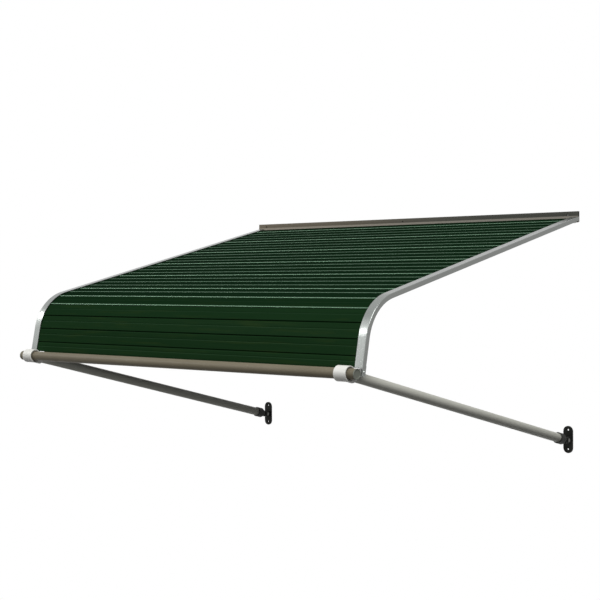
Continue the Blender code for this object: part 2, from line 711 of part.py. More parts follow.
def make_pivot(side_name, side):
    """The pivot bolt through the ears and the tongue, and the nut on its inner end."""
    pivot = along_arm(side, ARM_SPAN)
    outside = TONGUE_THICKNESS / 2 + GAP + EAR_THICKNESS + GAP
    bolt_name, nut_name = "pivot_bolt_" + side_name, "pivot_nut_" + side_name

    def disc(name, radius, near, far, segments):
        middle = pivot + Vector((side * (near + far) / 2, 0, 0))
        return cylinder(name, radius, far - near, middle, (1, 0, 0), pivot, segments=segments)

    bolt = disc(bolt_name, PIVOT_RADIUS, -(outside + NUT_HEIGHT + CUT), outside + PIVOT_HEAD_HEIGHT / 2,
                SMALL_SEGMENTS)
    join(bolt, disc(bolt_name + "_head", PIVOT_HEAD_RADIUS, outside, outside + PIVOT_HEAD_HEIGHT,
                    HEX_SEGMENTS))
    paint(bolt, screw_finish)
    nut = disc(nut_name, PIVOT_HEAD_RADIUS, -(outside + NUT_HEIGHT), -outside, HEX_SEGMENTS)
    cut(nut, disc(nut_name + "_hole", PIVOT_RADIUS + GAP, -(outside + NUT_HEIGHT + CUT), CUT - outside,
                  SMALL_SEGMENTS))
    return paint(nut, screw_finish)


def bracket_frame():
    """The bar brackets' vertical range and their front face, just behind the bar."""
    top = canopy_place(RAIL_RUN, RAIL_DEPTH)[1] - GAP
    return top - BAR_BRACKET_HEIGHT, top, BAR_Y + TUBE_RADIUS + GAP


def bar_screw_place(side):
    """Where a bar bracket's screw enters the back of the bar."""
    x = side * (CHANNEL_HALF_WIDTH - GAP - BAR_BRACKET_WIDTH / 2)
    return Vector((x, BAR_Y + TUBE_RADIUS, BAR_Z)), Vector((0, 1, 0))


def tab_screw_place(side):
    """Where a screw passes a rail's tab into the bar bracket's side."""
    y, z, _ = canopy_place(RAIL_RUN + RAIL_TAB_LENGTH / 2, RAIL_DEPTH / 2)
    return Vector((side * RAIL_HALF_SPAN, y, z)), Vector((side, 0, 0))


def tab_screw_hole(side):
    """The cutter of a tab screw's hole, through the rail's tab and the bar bracket's side."""
    place, outward = tab_screw_place(side)
    return cylinder(f"tab_screw_hole_{side}", SCREW_RADIUS + GAP, THROUGH * (RAIL_WALL + BAR_BRACKET_SHEET),
                    place, outward, (0, 0, 0), segments=SMALL_SEGMENTS)


def make_bar_bracket(name, side):
    """A folded plate: a side against the rail's tab, a shelf under the channel and a foot behind the bar."""
    low_z, top_z, front_y = bracket_frame()
    sheet = BAR_BRACKET_SHEET
    outer = CHANNEL_HALF_WIDTH - GAP
    inner = outer - BAR_BRACKET_WIDTH
    rear_y = canopy_place(RAIL_RUN, RAIL_DEPTH)[0]
    origin = (side * outer, front_y, top_z)

    def plate(suffix, near, far, y0, y1, z0, z1):
        low_x, high_x = sorted((side * near, side * far))
        return box(name + suffix, (low_x, y0, z0), (high_x, y1, z1), origin)

    bracket = plate("", outer - sheet, outer, front_y, rear_y, low_z, top_z)
    join(bracket, plate("_shelf", inner, outer, front_y, rear_y, top_z - sheet, top_z))
    join(bracket, plate("_foot", inner, outer, front_y, front_y + sheet, low_z, top_z))
    cut(bracket, tab_screw_hole(side))
    place, back = bar_screw_place(side)
    cut(bracket, cylinder(name + "_bar_hole", SCREW_RADIUS + GAP, THROUGH * sheet, place, back, origin,
                          segments=SMALL_SEGMENTS))
    return paint(bracket, rail_finish)


def make_screw(name, place, outward, grip):
    """A pan head screw whose head seats at a place, facing outward, with its shank going in."""
    shank = grip + SCREW_REACH
    head_middle = place + outward * (SCREW_HEAD_HEIGHT / 2 + GAP)
    shank_middle = place + outward * (CUT - shank) / 2
    screw = cylinder(name, SCREW_HEAD_RADIUS, SCREW_HEAD_HEIGHT, head_middle, outward, place,
                     top_radius=SCREW_HEAD_TOP_RADIUS, segments=SMALL_SEGMENTS)
    join(screw, cylinder(name + "_shank", SCREW_RADIUS, shank + CUT, shank_middle, outward, place,
                         segments=SMALL_SEGMENTS))
    return paint(screw, screw_finish)


def make_screws(side_name, side):
    """The screws of one side: rail to header, tab to bar bracket and bar bracket to bar."""
    place, down = shelf_screw_place(side)
    make_screw("rail_screw_" + side_name, place + down * (HEADER_WALL + 2 * GAP), down, HEADER_WALL)
    place, outward = tab_screw_place(side)
    make_screw("tab_screw_" + side_name, place, outward, RAIL_WALL)
    place, back = bar_screw_place(side)
    make_screw("bar_screw_" + side_name, place + back * (BAR_BRACKET_SHEET + GAP), back, BAR_BRACKET_SHEET)


def make_arm_set(side_name, side):
    """Everything that hangs on one side of the bar."""
    hub = along_arm(side, 0.0)
    pivot = along_arm(side, ARM_SPAN)
    make_tee("slip_tee_" + side_name, side)
    make_set_screw("tee_set_screw_" + side_name, hub, BAR_BORE_RADIUS, TEE_RADIUS, hub)
    make_arm("stay_arm_" + side_name, side)
    make_cup("arm_cup_" + side_name, side)
    cup_place = along_arm(side, CUP_FLOOR_FROM_BAR - CUP_SOCKET_DEPTH / 2)
    cup_radius = BAR_BORE_RADIUS + CUP_WALL
    make_set_screw("cup_set_screw_" + side_name, cup_place, BAR_BORE_RADIUS, cup_radius, pivot)
    make_wall_bracket("wall_bracket_" + side_name, side)
    make_pivot(side_name, side)


def make_canopy():
    """The whole canopy."""
    make_header()
    make_slats()
    make_bar()
    for side_name, side in (("left", -1), ("right", 1)):
        make_rail("side_rail_" + side_name, side)
        make_bar_bracket("bar_bracket_" + side_name, side)
        make_screws(side_name, side)
        make_arm_set(side_name, side)


make_canopy()
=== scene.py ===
"""Looks of the slat door canopy: shapes, finishes, studio light and camera.

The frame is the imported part's own: metres, +Z up, +X along the width, +Y to the back, and the
origin in the middle of the header's back face.
"""

import json
import logging
import math
from dataclasses import dataclass, field
from enum import Enum
from typing import Any, Sequence, Union

import bmesh
import bpy
import numpy as np
from mathutils import Matrix, Vector

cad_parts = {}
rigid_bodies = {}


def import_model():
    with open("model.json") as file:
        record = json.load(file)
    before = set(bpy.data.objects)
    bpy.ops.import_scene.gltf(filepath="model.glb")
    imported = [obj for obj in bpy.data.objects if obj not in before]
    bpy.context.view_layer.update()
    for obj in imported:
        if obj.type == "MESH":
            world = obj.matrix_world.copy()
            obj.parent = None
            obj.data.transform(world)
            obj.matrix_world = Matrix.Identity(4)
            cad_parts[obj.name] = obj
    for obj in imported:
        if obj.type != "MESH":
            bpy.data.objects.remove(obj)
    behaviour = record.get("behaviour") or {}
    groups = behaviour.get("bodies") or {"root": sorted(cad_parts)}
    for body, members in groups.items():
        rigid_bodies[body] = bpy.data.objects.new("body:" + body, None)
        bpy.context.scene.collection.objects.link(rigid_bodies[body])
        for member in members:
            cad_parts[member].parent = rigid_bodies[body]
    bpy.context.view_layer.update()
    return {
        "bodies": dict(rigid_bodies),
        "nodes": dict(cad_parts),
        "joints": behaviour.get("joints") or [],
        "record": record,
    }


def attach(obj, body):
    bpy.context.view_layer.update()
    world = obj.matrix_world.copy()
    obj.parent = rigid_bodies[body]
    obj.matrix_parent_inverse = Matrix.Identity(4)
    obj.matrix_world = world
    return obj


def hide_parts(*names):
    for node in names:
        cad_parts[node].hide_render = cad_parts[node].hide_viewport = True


LOG = logging.getLogger("slat_door_canopy")
Array = np.ndarray
Colour = tuple[float, float, float]
Pair = tuple[float, float]

ARC_SHARE = 0.45  # the most of a side that one rounded corner takes
GUARD = 1.1  # a guard point's distance from its corner, in arc reaches
OVERRUN = 0.0040  # how far a cutter stands out of what it cuts
MERGE = 1e-7  # the farthest apart at which two points are made one
ROUND, SMALL, TINY = 96, 32, 24  # the steps round a tube, a pin and a screw's hole
SIDES = (("left", -1), ("right", 1))


# Meshes from arrays


def points(x: Array, y: Array, z: Array) -> Array:
    """Points from three arrays of coordinates that are spread to one shape."""
    return np.stack(np.broadcast_arrays(x, y, z), axis=-1)


def rectangle(low_a: float, low_b: float, high_a: float, high_b: float) -> Array:
    """A rectangle's four corners from its lowest and highest."""
    return np.array([(low_a, low_b), (high_a, low_b), (high_a, high_b), (low_a, high_b)])


class Caps(Enum):
    """How the two ends of a swept ring are closed."""

    SHEET = "strips across a folded sheet's thickness"
    FACE = "one face"
    RING = "the last ring joins the first"


def rounded(corners: Array, radius: float, steps: int = 4, guarded: bool = False) -> Array:
    """Rounds the inner corners of an open run of 2-D points.

    A corner C between the unit directions b, back, and a, ahead, becomes the quadratic arc
    (1-t)^2 (C+db) + 2t(1-t) C + t^2 (C+da), with d = radius * tan(turn / 2), held within a share
    of the shorter side.

    Args:
        corners: The points, shape (n, 2).
        radius: The arc's radius in metres.
        steps: The number of chords of each arc.
        guarded: True for a point just past each end of an arc, which keeps the flats' shading flat.

    Returns:
        The rounded run, shape (m, 2).
    """
    middle = corners[1:-1]
    back, ahead = corners[:-2] - middle, corners[2:] - middle
    back_length = np.linalg.norm(back, axis=1, keepdims=True)
    ahead_length = np.linalg.norm(ahead, axis=1, keepdims=True)
    back, ahead = back / back_length, ahead / ahead_length
    cosine = np.clip(-(back * ahead).sum(axis=1, keepdims=True), -0.9999, 0.9999)
    reach = radius * np.tan(np.arccos(cosine) / 2)
    reach = np.minimum(reach, ARC_SHARE * np.minimum(back_length, ahead_length))
    t = np.linspace(0.0, 1.0, steps + 1)[None, :, None]
    start, end = (middle + reach * back)[:, None], (middle + reach * ahead)[:, None]
    arcs = (1 - t) ** 2 * start + 2 * t * (1 - t) * middle[:, None] + t**2 * end
    if guarded:
        before, after = middle + GUARD * reach * back, middle + GUARD * reach * ahead
        arcs = np.concatenate([before[:, None], arcs, after[:, None]], axis=1)
    return np.concatenate([corners[:1], arcs.reshape(-1, 2), corners[-1:]])


def rounded_loop(corners: Array, radius: float, steps: int = 4) -> Array:
    """Rounds every corner of a closed outline of 2-D points, with the same arcs as an open run.

    Args:
        corners: The points, shape (n, 2), with the first not repeated.
        radius: The arc's radius in metres.
        steps: The number of chords of each arc.

    Returns:
        The rounded outline, shape (m, 2), with the first point not repeated.
    """
    start = (corners[:1] + corners[-1:]) / 2
    run = rounded(np.concatenate([start, corners, start]), radius, steps)
    return run[:-1]


def normals_along(run: Array) -> Array:
    """The mitred normals of an open run.

    Each is the mean of the two sides' directions over its length squared, turned by a quarter.

    Args:
        run: The points, shape (n, 2).

    Returns:
        One normal a point, shape (n, 2), a quarter turn clockwise from the run's direction.
    """
    side = np.diff(run, axis=0)
    side /= np.maximum(np.linalg.norm(side, axis=1, keepdims=True), 1e-12)
    mean = np.concatenate([side[:1], (side[:-1] + side[1:]) / 2, side[-1:]])
    mean /= (mean**2).sum(axis=1, keepdims=True)
    return np.stack([mean[:, 1], -mean[:, 0]], axis=1)


def sheet_loop(run: Array, thickness: float) -> Array:
    """A folded sheet's outline: the run moved half a thickness out, and back on the other side.

    Args:
        run: The sheet's middle line, shape (n, 2).
        thickness: The sheet's thickness in metres.

    Returns:
        The outline, shape (2n, 2).
    """
    offset = normals_along(run) * thickness / 2
    return np.concatenate([run + offset, (run - offset)[::-1]])


def skin(name: str, rings: Array, caps: Caps, runs: Array | None = None,
         zero: int = 0) -> bpy.types.Mesh:
    """A mesh through rings of points: point (s, i) joins (s, i+1), (s+1, i+1) and (s+1, i).

    The UV map holds metres: u is the run from ring to ring and v the way round the ring.

    Args:
        name: The mesh's name.
        rings: The points, shape (stations, count, 3).
        caps: How the ends are closed.
        runs: The run at each station, or None for the distance between the rings.
        zero: The ring's point at which v is 0.

    Returns:
        The mesh, with its normals pointing outwards.
    """
    stations, count = rings.shape[:2]
    closed = caps is Caps.RING
    if runs is None:
        middles = rings.mean(axis=1) if not closed else rings[:, 0]
        runs = np.concatenate([[0.0], np.cumsum(np.linalg.norm(np.diff(middles, axis=0), axis=1))])
    around = np.linalg.norm(np.diff(rings[0], axis=0, append=rings[0][:1]), axis=1)
    around = np.concatenate([[0.0], np.cumsum(around)])
    around = around - around[zero]
    s = np.arange(stations if closed else stations - 1)[:, None]
    i = np.arange(count)[None, :]
    ahead, beside = (s + 1) % stations, (i + 1) % count
    corners = [(s, i), (s, beside), (ahead, beside), (ahead, i)]
    quads = np.stack([a * count + b for a, b in corners], axis=-1).reshape(-1, 4)
    runs = np.append(runs, runs[-1] + (runs[-1] - runs[-2]))
    u = np.stack([runs[s + step] + 0 * i for step in (0, 0, 1, 1)], axis=-1)
    v = np.stack([around[i + step] + 0 * s for step in (0, 1, 1, 0)], axis=-1)
    uv = np.stack([u, v], axis=-1).reshape(-1, 2)
    faces: list[list[int]] = quads.tolist()
    far = (stations - 1) * count
    if caps is Caps.SHEET:
        k = np.arange(count // 2 - 1)
        near = np.stack([k, count - 1 - k, count - 2 - k, k + 1], axis=-1)
        faces += near.tolist() + (near[:, ::-1] + far).tolist()
    elif caps is Caps.FACE:
        faces += [list(range(count))[::-1], list(range(far, far + count))]
    mesh = bpy.data.meshes.new(name)
    mesh.from_pydata(rings.reshape(-1, 3).tolist(), [], faces)
    layer = mesh.uv_layers.new(name="Metres")
    loops = np.zeros((len(mesh.loops), 2), dtype=np.float32)
    loops[: len(uv)] = uv
    layer.data.foreach_set("uv", loops.ravel())
    return outward(mesh)


def outward(mesh: bpy.types.Mesh) -> bpy.types.Mesh:
    """Merges a mesh's doubled points and turns its faces outwards."""
    shape = bmesh.new()
    shape.from_mesh(mesh)
    bmesh.ops.remove_doubles(shape, verts=shape.verts, dist=MERGE)
    bmesh.ops.recalc_face_normals(shape, faces=shape.faces)
    shape.to_mesh(mesh)
    shape.free()
    return mesh


@dataclass(frozen=True)
class Axis:
    """A line in space with two directions square to it."""

    origin: tuple[float, float, float]
    along: tuple[float, float, float]

    def frame(self) -> tuple[Array, Array, Array, Array]:
        """The origin and three unit directions: along, and two square to it."""
        along = np.array(self.along) / np.linalg.norm(self.along)
        aside = np.array([1.0, 0.0, 0.0]) if abs(along[0]) < 0.9 else np.array([0.0, 0.0, 1.0])
        aside = aside - along * (aside @ along)
        aside /= np.linalg.norm(aside)
        return np.array(self.origin), along, aside, np.cross(along, aside)

    def place(self, distance: Array, radius: Array, angle: Array) -> Array:
        """Points at origin + along * distance + radius * (aside * cos(a) + across * sin(a))."""
        origin, along, aside, across = self.frame()
        distance, radius, angle = np.broadcast_arrays(distance, radius, angle)
        turned = aside * np.cos(angle)[..., None] + across * np.sin(angle)[..., None]
        return origin + along * distance[..., None] + turned * radius[..., None]


def revolved(name: str, axis: Axis, profile: Array, segments: int, caps: Caps) -> bpy.types.Mesh:
    """A surface of revolution: the profile's (distance, radius) points turned about the axis.

    Args:
        name: The mesh's name.
        axis: The axis.
        profile: The points, shape (n, 2).
        segments: The steps round the axis.
        caps: RING for a closed outline, FACE for a run from pole to pole.

    Returns:
        The mesh.
    """
    rings = axis.place(profile[:, :1], profile[:, 1:], turns(segments))
    runs = np.concatenate([[0.0], np.cumsum(np.linalg.norm(np.diff(profile, axis=0), axis=1))])
    return skin(name, rings, caps, runs) if caps is Caps.RING else poled(name, rings, runs)


def turns(segments: int) -> Array:
    """Even angles round a full turn in radians."""
    return np.linspace(0.0, 2 * np.pi, segments, endpoint=False)


def poled(name: str, rings: Array, runs: Array) -> bpy.types.Mesh:
    """A skin whose first and last rings, the poles, give way to a fan of triangles at each end."""
    mesh = skin(name, rings[1:-1], Caps.FACE, runs[1:-1])
    shape = bmesh.new()
    shape.from_mesh(mesh)
    bmesh.ops.poke(shape, faces=[face for face in shape.faces if len(face.verts) > 4])
    shape.to_mesh(mesh)
    shape.free()
    return mesh


def slab(name: str, low: Sequence[float], high: Sequence[float], turn: float = 0.0,
         about: Sequence[float] = (0.0, 0.0, 0.0)) -> bpy.types.Mesh:
    """A solid block between two corners, turned about X.

    Args:
        name: The mesh's name.
        low: The lowest corner before the turn.
        high: The highest corner before the turn.
        turn: The angle about X in radians.
        about: A point of the axis that it turns about.

    Returns:
        The mesh.
    """
    centre = np.array(about)[1:]
    spin = np.array([[math.cos(turn), math.sin(turn)], [-math.sin(turn), math.cos(turn)]])
    ring = (rectangle(*low[1:], *high[1:]) - centre) @ spin + centre
    return prism(name, ring, np.array([low[0], high[0]]))


def prism(name: str, outline: Array, x: Array) -> bpy.types.Mesh:
    """A (y, z) outline drawn out along X, with one ring at each x."""
    return skin(name, points(x[:, None], outline[:, 0], outline[:, 1]), Caps.FACE)


def shaft(name: str, axis: Axis, near: float, far: float, radius: float,
          end_radius: float | None = None, ease: float = 0.0003,
          segments: int = ROUND) -> bpy.types.Mesh:
    """A solid round bar or cone with eased rims.

    Args:
        name: The mesh's name.
        axis: The bar's axis.
        near: The distance along the axis at which it starts.
        far: The distance at which it ends.
        radius: The radius at its start.
        end_radius: The radius at its end, or None for the same.
        ease: The rims' rounding in metres.
        segments: The steps round the axis.

    Returns:
        The mesh.
    """
    top = radius if end_radius is None else end_radius
    corners = np.array([[near, 0.0], [near, radius], [far, top], [far, 0.0]])
    return revolved(name, axis, rounded(corners, ease), segments, Caps.FACE)


def joined(name: str, body: bpy.types.Mesh, added: Sequence[bpy.types.Mesh],
           removed: Sequence[bpy.types.Mesh], voxel: float = 0.0) -> bpy.types.Mesh:
    """Unites and cuts solids with exact Booleans, and may recast the result with soft edges.

    Args:
        name: The finished mesh's name.
        body: The first solid.
        added: Solids to unite with it.
        removed: Solids to cut from it.
        voxel: The size of the recast mesh's cells, or 0 to leave the cut mesh as it is.

    Returns:
        The finished mesh, with its modifiers applied.
    """
    host = linked(bpy.data.objects.new(name + "_work", body))
    tools = []
    for operation, solids in (("UNION", added), ("DIFFERENCE", removed)):
        for solid in solids:
            tool = linked(bpy.data.objects.new(solid.name + "_tool", solid))
            step = host.modifiers.new(solid.name, "BOOLEAN")
            step.operation = operation
            step.solver = "EXACT"
            step.object = tool
            tools.append(tool)
    if voxel > 0:
        recast = host.modifiers.new("recast", "REMESH")
        recast.mode = "VOXEL"
        recast.voxel_size = voxel
        soften = host.modifiers.new("soften", "SMOOTH")
        soften.factor = 0.5
        soften.iterations = 3
    bpy.context.view_layer.update()
    depsgraph = bpy.context.evaluated_depsgraph_get()
    mesh = bpy.data.meshes.new_from_object(host.evaluated_get(depsgraph))
    mesh.name = name
    for used in [host, *tools]:
        bpy.data.objects.remove(used, do_unlink=True)
    return mesh


def linked(piece: bpy.types.Object) -> bpy.types.Object:
    """Links an object to the scene and returns it."""
    bpy.context.scene.collection.objects.link(piece)
    return piece


def moved(mesh: bpy.types.Mesh, name: str, shift: Sequence[float]) -> bpy.types.Mesh:
    """A copy of a mesh with every point moved by the same step."""
    copy = mesh.copy()
    copy.name = name
    places = np.empty(len(copy.vertices) * 3, dtype=np.float32)
    copy.vertices.foreach_get("co", places)
    places = places.reshape(-1, 3) + np.array(shift, dtype=np.float32)
    copy.vertices.foreach_set("co", places.ravel())
    copy.update()
    return copy


def merged(name: str, *meshes: bpy.types.Mesh) -> bpy.types.Mesh:
    """One mesh that holds several shells, with their UV maps and point values."""
    shape = bmesh.new()
    for mesh in meshes:
        shape.from_mesh(mesh)
    out = bpy.data.meshes.new(name)
    shape.to_mesh(out)
    shape.free()
    return out


def note(mesh: bpy.types.Mesh, name: str, value: float) -> None:
    """Stores one number on all of a mesh, for the piece's material to read."""
    attribute = mesh.attributes.new(name, "FLOAT", "POINT")
    attribute.data.foreach_set("value", np.full(len(mesh.vertices), value, dtype=np.float32))


# Finishes


class Expr:
    """A shader socket that can be calculated with: each operation adds a Math node."""

    def __init__(self, shader: "Shader", socket: bpy.types.NodeSocket) -> None:
        """Wraps one output socket of a shader's tree."""
        self.shader = shader
        self.socket = socket

    def _math(self, operation: str, first: "Value", second: "Value") -> "Expr":
        """One Math node on two values."""
        return self.shader.node("ShaderNodeMath", {"operation": operation}, {0: first, 1: second})

    def __add__(self, other: "Value") -> "Expr":
        """self + other."""
        return self._math("ADD", self, other)

    def __radd__(self, other: "Value") -> "Expr":
        """other + self."""
        return self._math("ADD", other, self)

    def __sub__(self, other: "Value") -> "Expr":
        """self - other."""
        return self._math("SUBTRACT", self, other)

    def __rsub__(self, other: "Value") -> "Expr":
        """other - self."""
        return self._math("SUBTRACT", other, self)

    def __mul__(self, other: "Value") -> "Expr":
        """self * other."""
        return self._math("MULTIPLY", self, other)

    def __abs__(self) -> "Expr":
        """The size of self without its sign."""
        return self.shader.node("ShaderNodeMath", {"operation": "ABSOLUTE"}, {0: self})

    def within(self, low: float, high: float) -> "Expr":
        """0 at low and under, 1 at high and over, and a smooth step between."""
        inputs = {0: self, 1: low, 2: high, 3: 0.0, 4: 1.0}
        return self.shader.node("ShaderNodeMapRange", {"interpolation_type": "SMOOTHSTEP"}, inputs)


Value = Union[Expr, float, Sequence[float]]


class Shader:
    """A material under construction, with one method that adds every kind of node."""

    def __init__(self, name: str) -> None:
        """Starts a material with an empty tree and its output node."""
        self.material = bpy.data.materials.new(name)
        self.material.use_nodes = True
        self.tree = self.material.node_tree
        self.tree.nodes.clear()

    def node(self, kind: str, settings: dict[str, Any], inputs: dict[int | str, Value],
             output: int | str = 0) -> Expr:
        """Adds one node.

        Args:
            kind: The node's type.
            settings: Its own settings.
            inputs: A value or a link for each socket, by place or name.
            output: The output socket to return.

        Returns:
            The output socket, wrapped.
        """
        added = self.tree.nodes.new(kind)
        for key, value in settings.items():
            setattr(added, key, value)
        for key, value in inputs.items():
            socket = added.inputs[key]
            if isinstance(value, Expr):
                self.tree.links.new(value.socket, socket)
            elif isinstance(value, (tuple, list)) and socket.type == "RGBA":
                socket.default_value = (*value[:3], 1.0)
            else:
                socket.default_value = value
        return Expr(self, added.outputs[output])

    def place(self, scale: Sequence[float] = (1.0, 1.0, 1.0), follow: bool = False) -> Expr:
        """Object coordinates, or the metric UV map where the pattern follows the piece, scaled."""
        source = self.node("ShaderNodeTexCoord", {}, {}, "UV" if follow else "Object")
        return self.node("ShaderNodeMapping", {}, {"Vector": source, "Scale": scale})

    def noise(self, place: Expr, scale: float, detail: float = 3.0,
              roughness: float = 0.55) -> Expr:
        """Soft noise between 0 and 1."""
        inputs = {"Vector": place, "Scale": scale, "Detail": detail, "Roughness": roughness}
        return self.node("ShaderNodeTexNoise", {}, inputs, "Fac")

    def cells(self, place: Expr, scale: float) -> Expr:
        """The distance to the nearest of scattered points."""
        return self.node("ShaderNodeTexVoronoi", {}, {"Vector": place, "Scale": scale}, "Distance")

    def noted(self, name: str) -> Expr:
        """A number that was stored with the mesh's points."""
        return self.node("ShaderNodeAttribute", {"attribute_name": name}, {}, "Fac")

    def part(self, vector: Expr, axis: str) -> Expr:
        """One coordinate of a vector."""
        return self.node("ShaderNodeSeparateXYZ", {}, {0: vector}, axis)

    def blend(self, factor: Value, first: Value, second: Value) -> Expr:
        """A mix of two colours."""
        inputs = {0: factor, 6: first, 7: second}
        return self.node("ShaderNodeMix", {"data_type": "RGBA"}, inputs, 2)

    def bump(self, height: Expr, strength: float, distance: float) -> Expr:
        """A normal from a height in metres times a distance."""
        inputs = {"Height": height, "Strength": strength, "Distance": distance}
        return self.node("ShaderNodeBump", {}, inputs, "Normal")

    def finish(self, **inputs: Value) -> bpy.types.Material:
        """Ends the material with a Principled surface. Underscores in names stand for spaces."""
        named = {key.replace("_", " "): value for key, value in inputs.items()}
        surface = self.node("ShaderNodeBsdfPrincipled", {}, named, "BSDF")
        self.node_output(surface)
        return self.material

    def node_output(self, surface: Expr) -> None:
        """Links a surface to the material's output."""
        end = self.tree.nodes.new("ShaderNodeOutputMaterial")
        self.tree.links.new(surface.socket, end.inputs["Surface"])


@dataclass(frozen=True)
class SlatEnamel:
    """Dark green enamel, rolled on in long streaks, with a painted highlight line over the nose
    and painted shade on the sloping slats.
    """

    dark: Colour = (0.0053, 0.0190, 0.0066)
    light: Colour = (0.0100, 0.0305, 0.0106)
    olive: Colour = (0.0175, 0.0340, 0.0090)
    # the next colour is painted shade for the sloping slats
    painted_slope_shade: Colour = (0.0022, 0.0104, 0.0040)
    # the next colour is the painted highlight over the noses and beads
    painted_highlight: Colour = (0.118, 0.215, 0.138)
    # widths of the painted highlight lines over the nose and by the bead
    nose_line: Pair = (0.0003, 0.0031)
    bead_line: Pair = (0.0002, 0.0014)

    def material(self, name: str) -> bpy.types.Material:
        """Builds the enamel."""
        shader = Shader(name)
        streaks = shader.noise(shader.place((1.2, 46.0, 46.0)), 6.0, 4.0, 0.6)
        patches = shader.noise(shader.place((1.0, 3.0, 3.0)), 3.0, 2.0)
        tone = shader.noted("tone")
        across = shader.part(shader.place(follow=True), "Y")
        # painted highlight: a lighter, glossier line over each nose and a faint one by the bead
        # stand in for the lamps' reflections
        nose = (1 - abs(across).within(*self.nose_line)) * shader.noted("strength")
        bead = (1 - abs(across - shader.noted("bead")).within(*self.bead_line)) * 0.05
        painted_highlight_line = nose + bead
        stains = shader.noise(shader.place((1.6, 22.0, 22.0)), 4.0, 3.0).within(0.52, 0.72)
        factor = streaks * 0.75 + patches * 0.35 + tone * 0.30 - 0.20
        colour = shader.blend(factor, self.dark, self.light)
        colour = shader.blend(stains * 0.45, colour, self.olive)
        # painted shade: the sloping slats blend towards a deeper green
        colour = shader.blend(shader.noted("shade") * 0.85, colour, self.painted_slope_shade)
        colour = shader.blend(painted_highlight_line * 0.80, colour, self.painted_highlight)
        grain = shader.noise(shader.place(), 900.0, 2.0)
        return shader.finish(
            Base_Color=colour,
            Roughness=0.36 + streaks * 0.12,
            Metallic=painted_highlight_line * 0.55,
            Specular_IOR_Level=0.0,
            Coat_Weight=0.002 + painted_highlight_line * 0.16,
            Coat_Roughness=0.22,
            Coat_IOR=1.45,
            Normal=shader.bump(grain, 0.12, 0.0004),
        )


@dataclass(frozen=True)
class RailAluminium:
    """Satin extruded aluminium, with faint die lines along its run and a few duller patches,
    and painted shade on its faces that look sideways or up.
    """

    dull: Colour = (0.190, 0.202, 0.194)
    bright: Colour = (0.308, 0.326, 0.312)
    # the next two colours are painted shade, for faces that look sideways and faces that look up
    web: Colour = (0.205, 0.210, 0.200)
    top: Colour = (0.150, 0.156, 0.150)
    mark: Colour = (0.25, 0.25, 0.24)

    def material(self, name: str) -> bpy.types.Material:
        """Builds the satin aluminium."""
        shader = Shader(name)
        lines = shader.noise(shader.place((0.8, 160.0, 1.0), follow=True), 9.0, 4.0, 0.65)
        cloud = shader.noise(shader.place(), 14.0, 3.0)
        marks = shader.noise(shader.place(), 420.0, 2.0).within(0.60, 0.72)
        colour = shader.blend(lines * 0.5 + cloud * 0.7 - 0.1, self.dull, self.bright)
        # painted shade: the normals pick out faces that look sideways or up, which get darker
        # colours
        normal = shader.node("ShaderNodeNewGeometry", {}, {}, "Normal")
        sideways_painted_shade = abs(shader.part(normal, "X")).within(0.5, 0.95)
        level = shader.part(normal, "Z").within(0.80, 0.96)
        colour = shader.blend(level * 0.55, colour, self.top)
        colour = shader.blend(marks * 0.18, colour, self.mark)
        colour = shader.blend(sideways_painted_shade * 0.60, colour, self.web)
        return shader.finish(
            Base_Color=colour,
            Roughness=0.20 + lines * 0.08 + marks * 0.05,
            Metallic=0.70,
            Specular_IOR_Level=0.3,
            Normal=shader.bump(lines, 0.22, 0.0004),
        )


@dataclass(frozen=True)
class HeaderAluminium:
    """Dull mill aluminium, warm brown-grey at its left end and dark grey at its right: painted
    reflection and painted shade, with a painted highlight along the lip.
    """

    # the next two colours are painted light: a warm reflection at the left end and shade at the
    # right
    warm: Colour = (0.088, 0.073, 0.048)
    cool: Colour = (0.015, 0.018, 0.013)
    # the next colour lightens the lip as a painted highlight
    lip: Colour = (0.300, 0.275, 0.235)
    scratch: Colour = (0.22, 0.20, 0.17)
    lip_top: Pair = (0.0012, 0.0026)

    def material(self, name: str) -> bpy.types.Material:
        """Builds the dull aluminium."""
        shader = Shader(name)
        along, height = (shader.part(shader.place(), axis) for axis in "XZ")
        lines = shader.noise(shader.place((0.6, 60.0, 60.0)), 8.0, 4.0, 0.6)
        cloud = shader.noise(shader.place((1.0, 3.0, 3.0)), 5.0, 3.0)
        # painted light: the colour shifts from a warm reflection at the left end to shade at the
        # right
        shift = (along + cloud * 0.35 - 0.17).within(-0.66, 0.42)
        colour = shader.blend(shift, self.warm, self.cool)
        colour = shader.blend(lines * 0.16, colour, self.scratch)
        # painted highlight: the lip below the lip_top heights is lighter
        colour = shader.blend((1 - height.within(*self.lip_top)) * 0.40, colour, self.lip)
        return shader.finish(
            Base_Color=colour,
            Roughness=0.42 + lines * 0.12,
            Metallic=0.15,
            Specular_IOR_Level=0.2,
            Normal=shader.bump(lines, 0.12, 0.0003),
        )


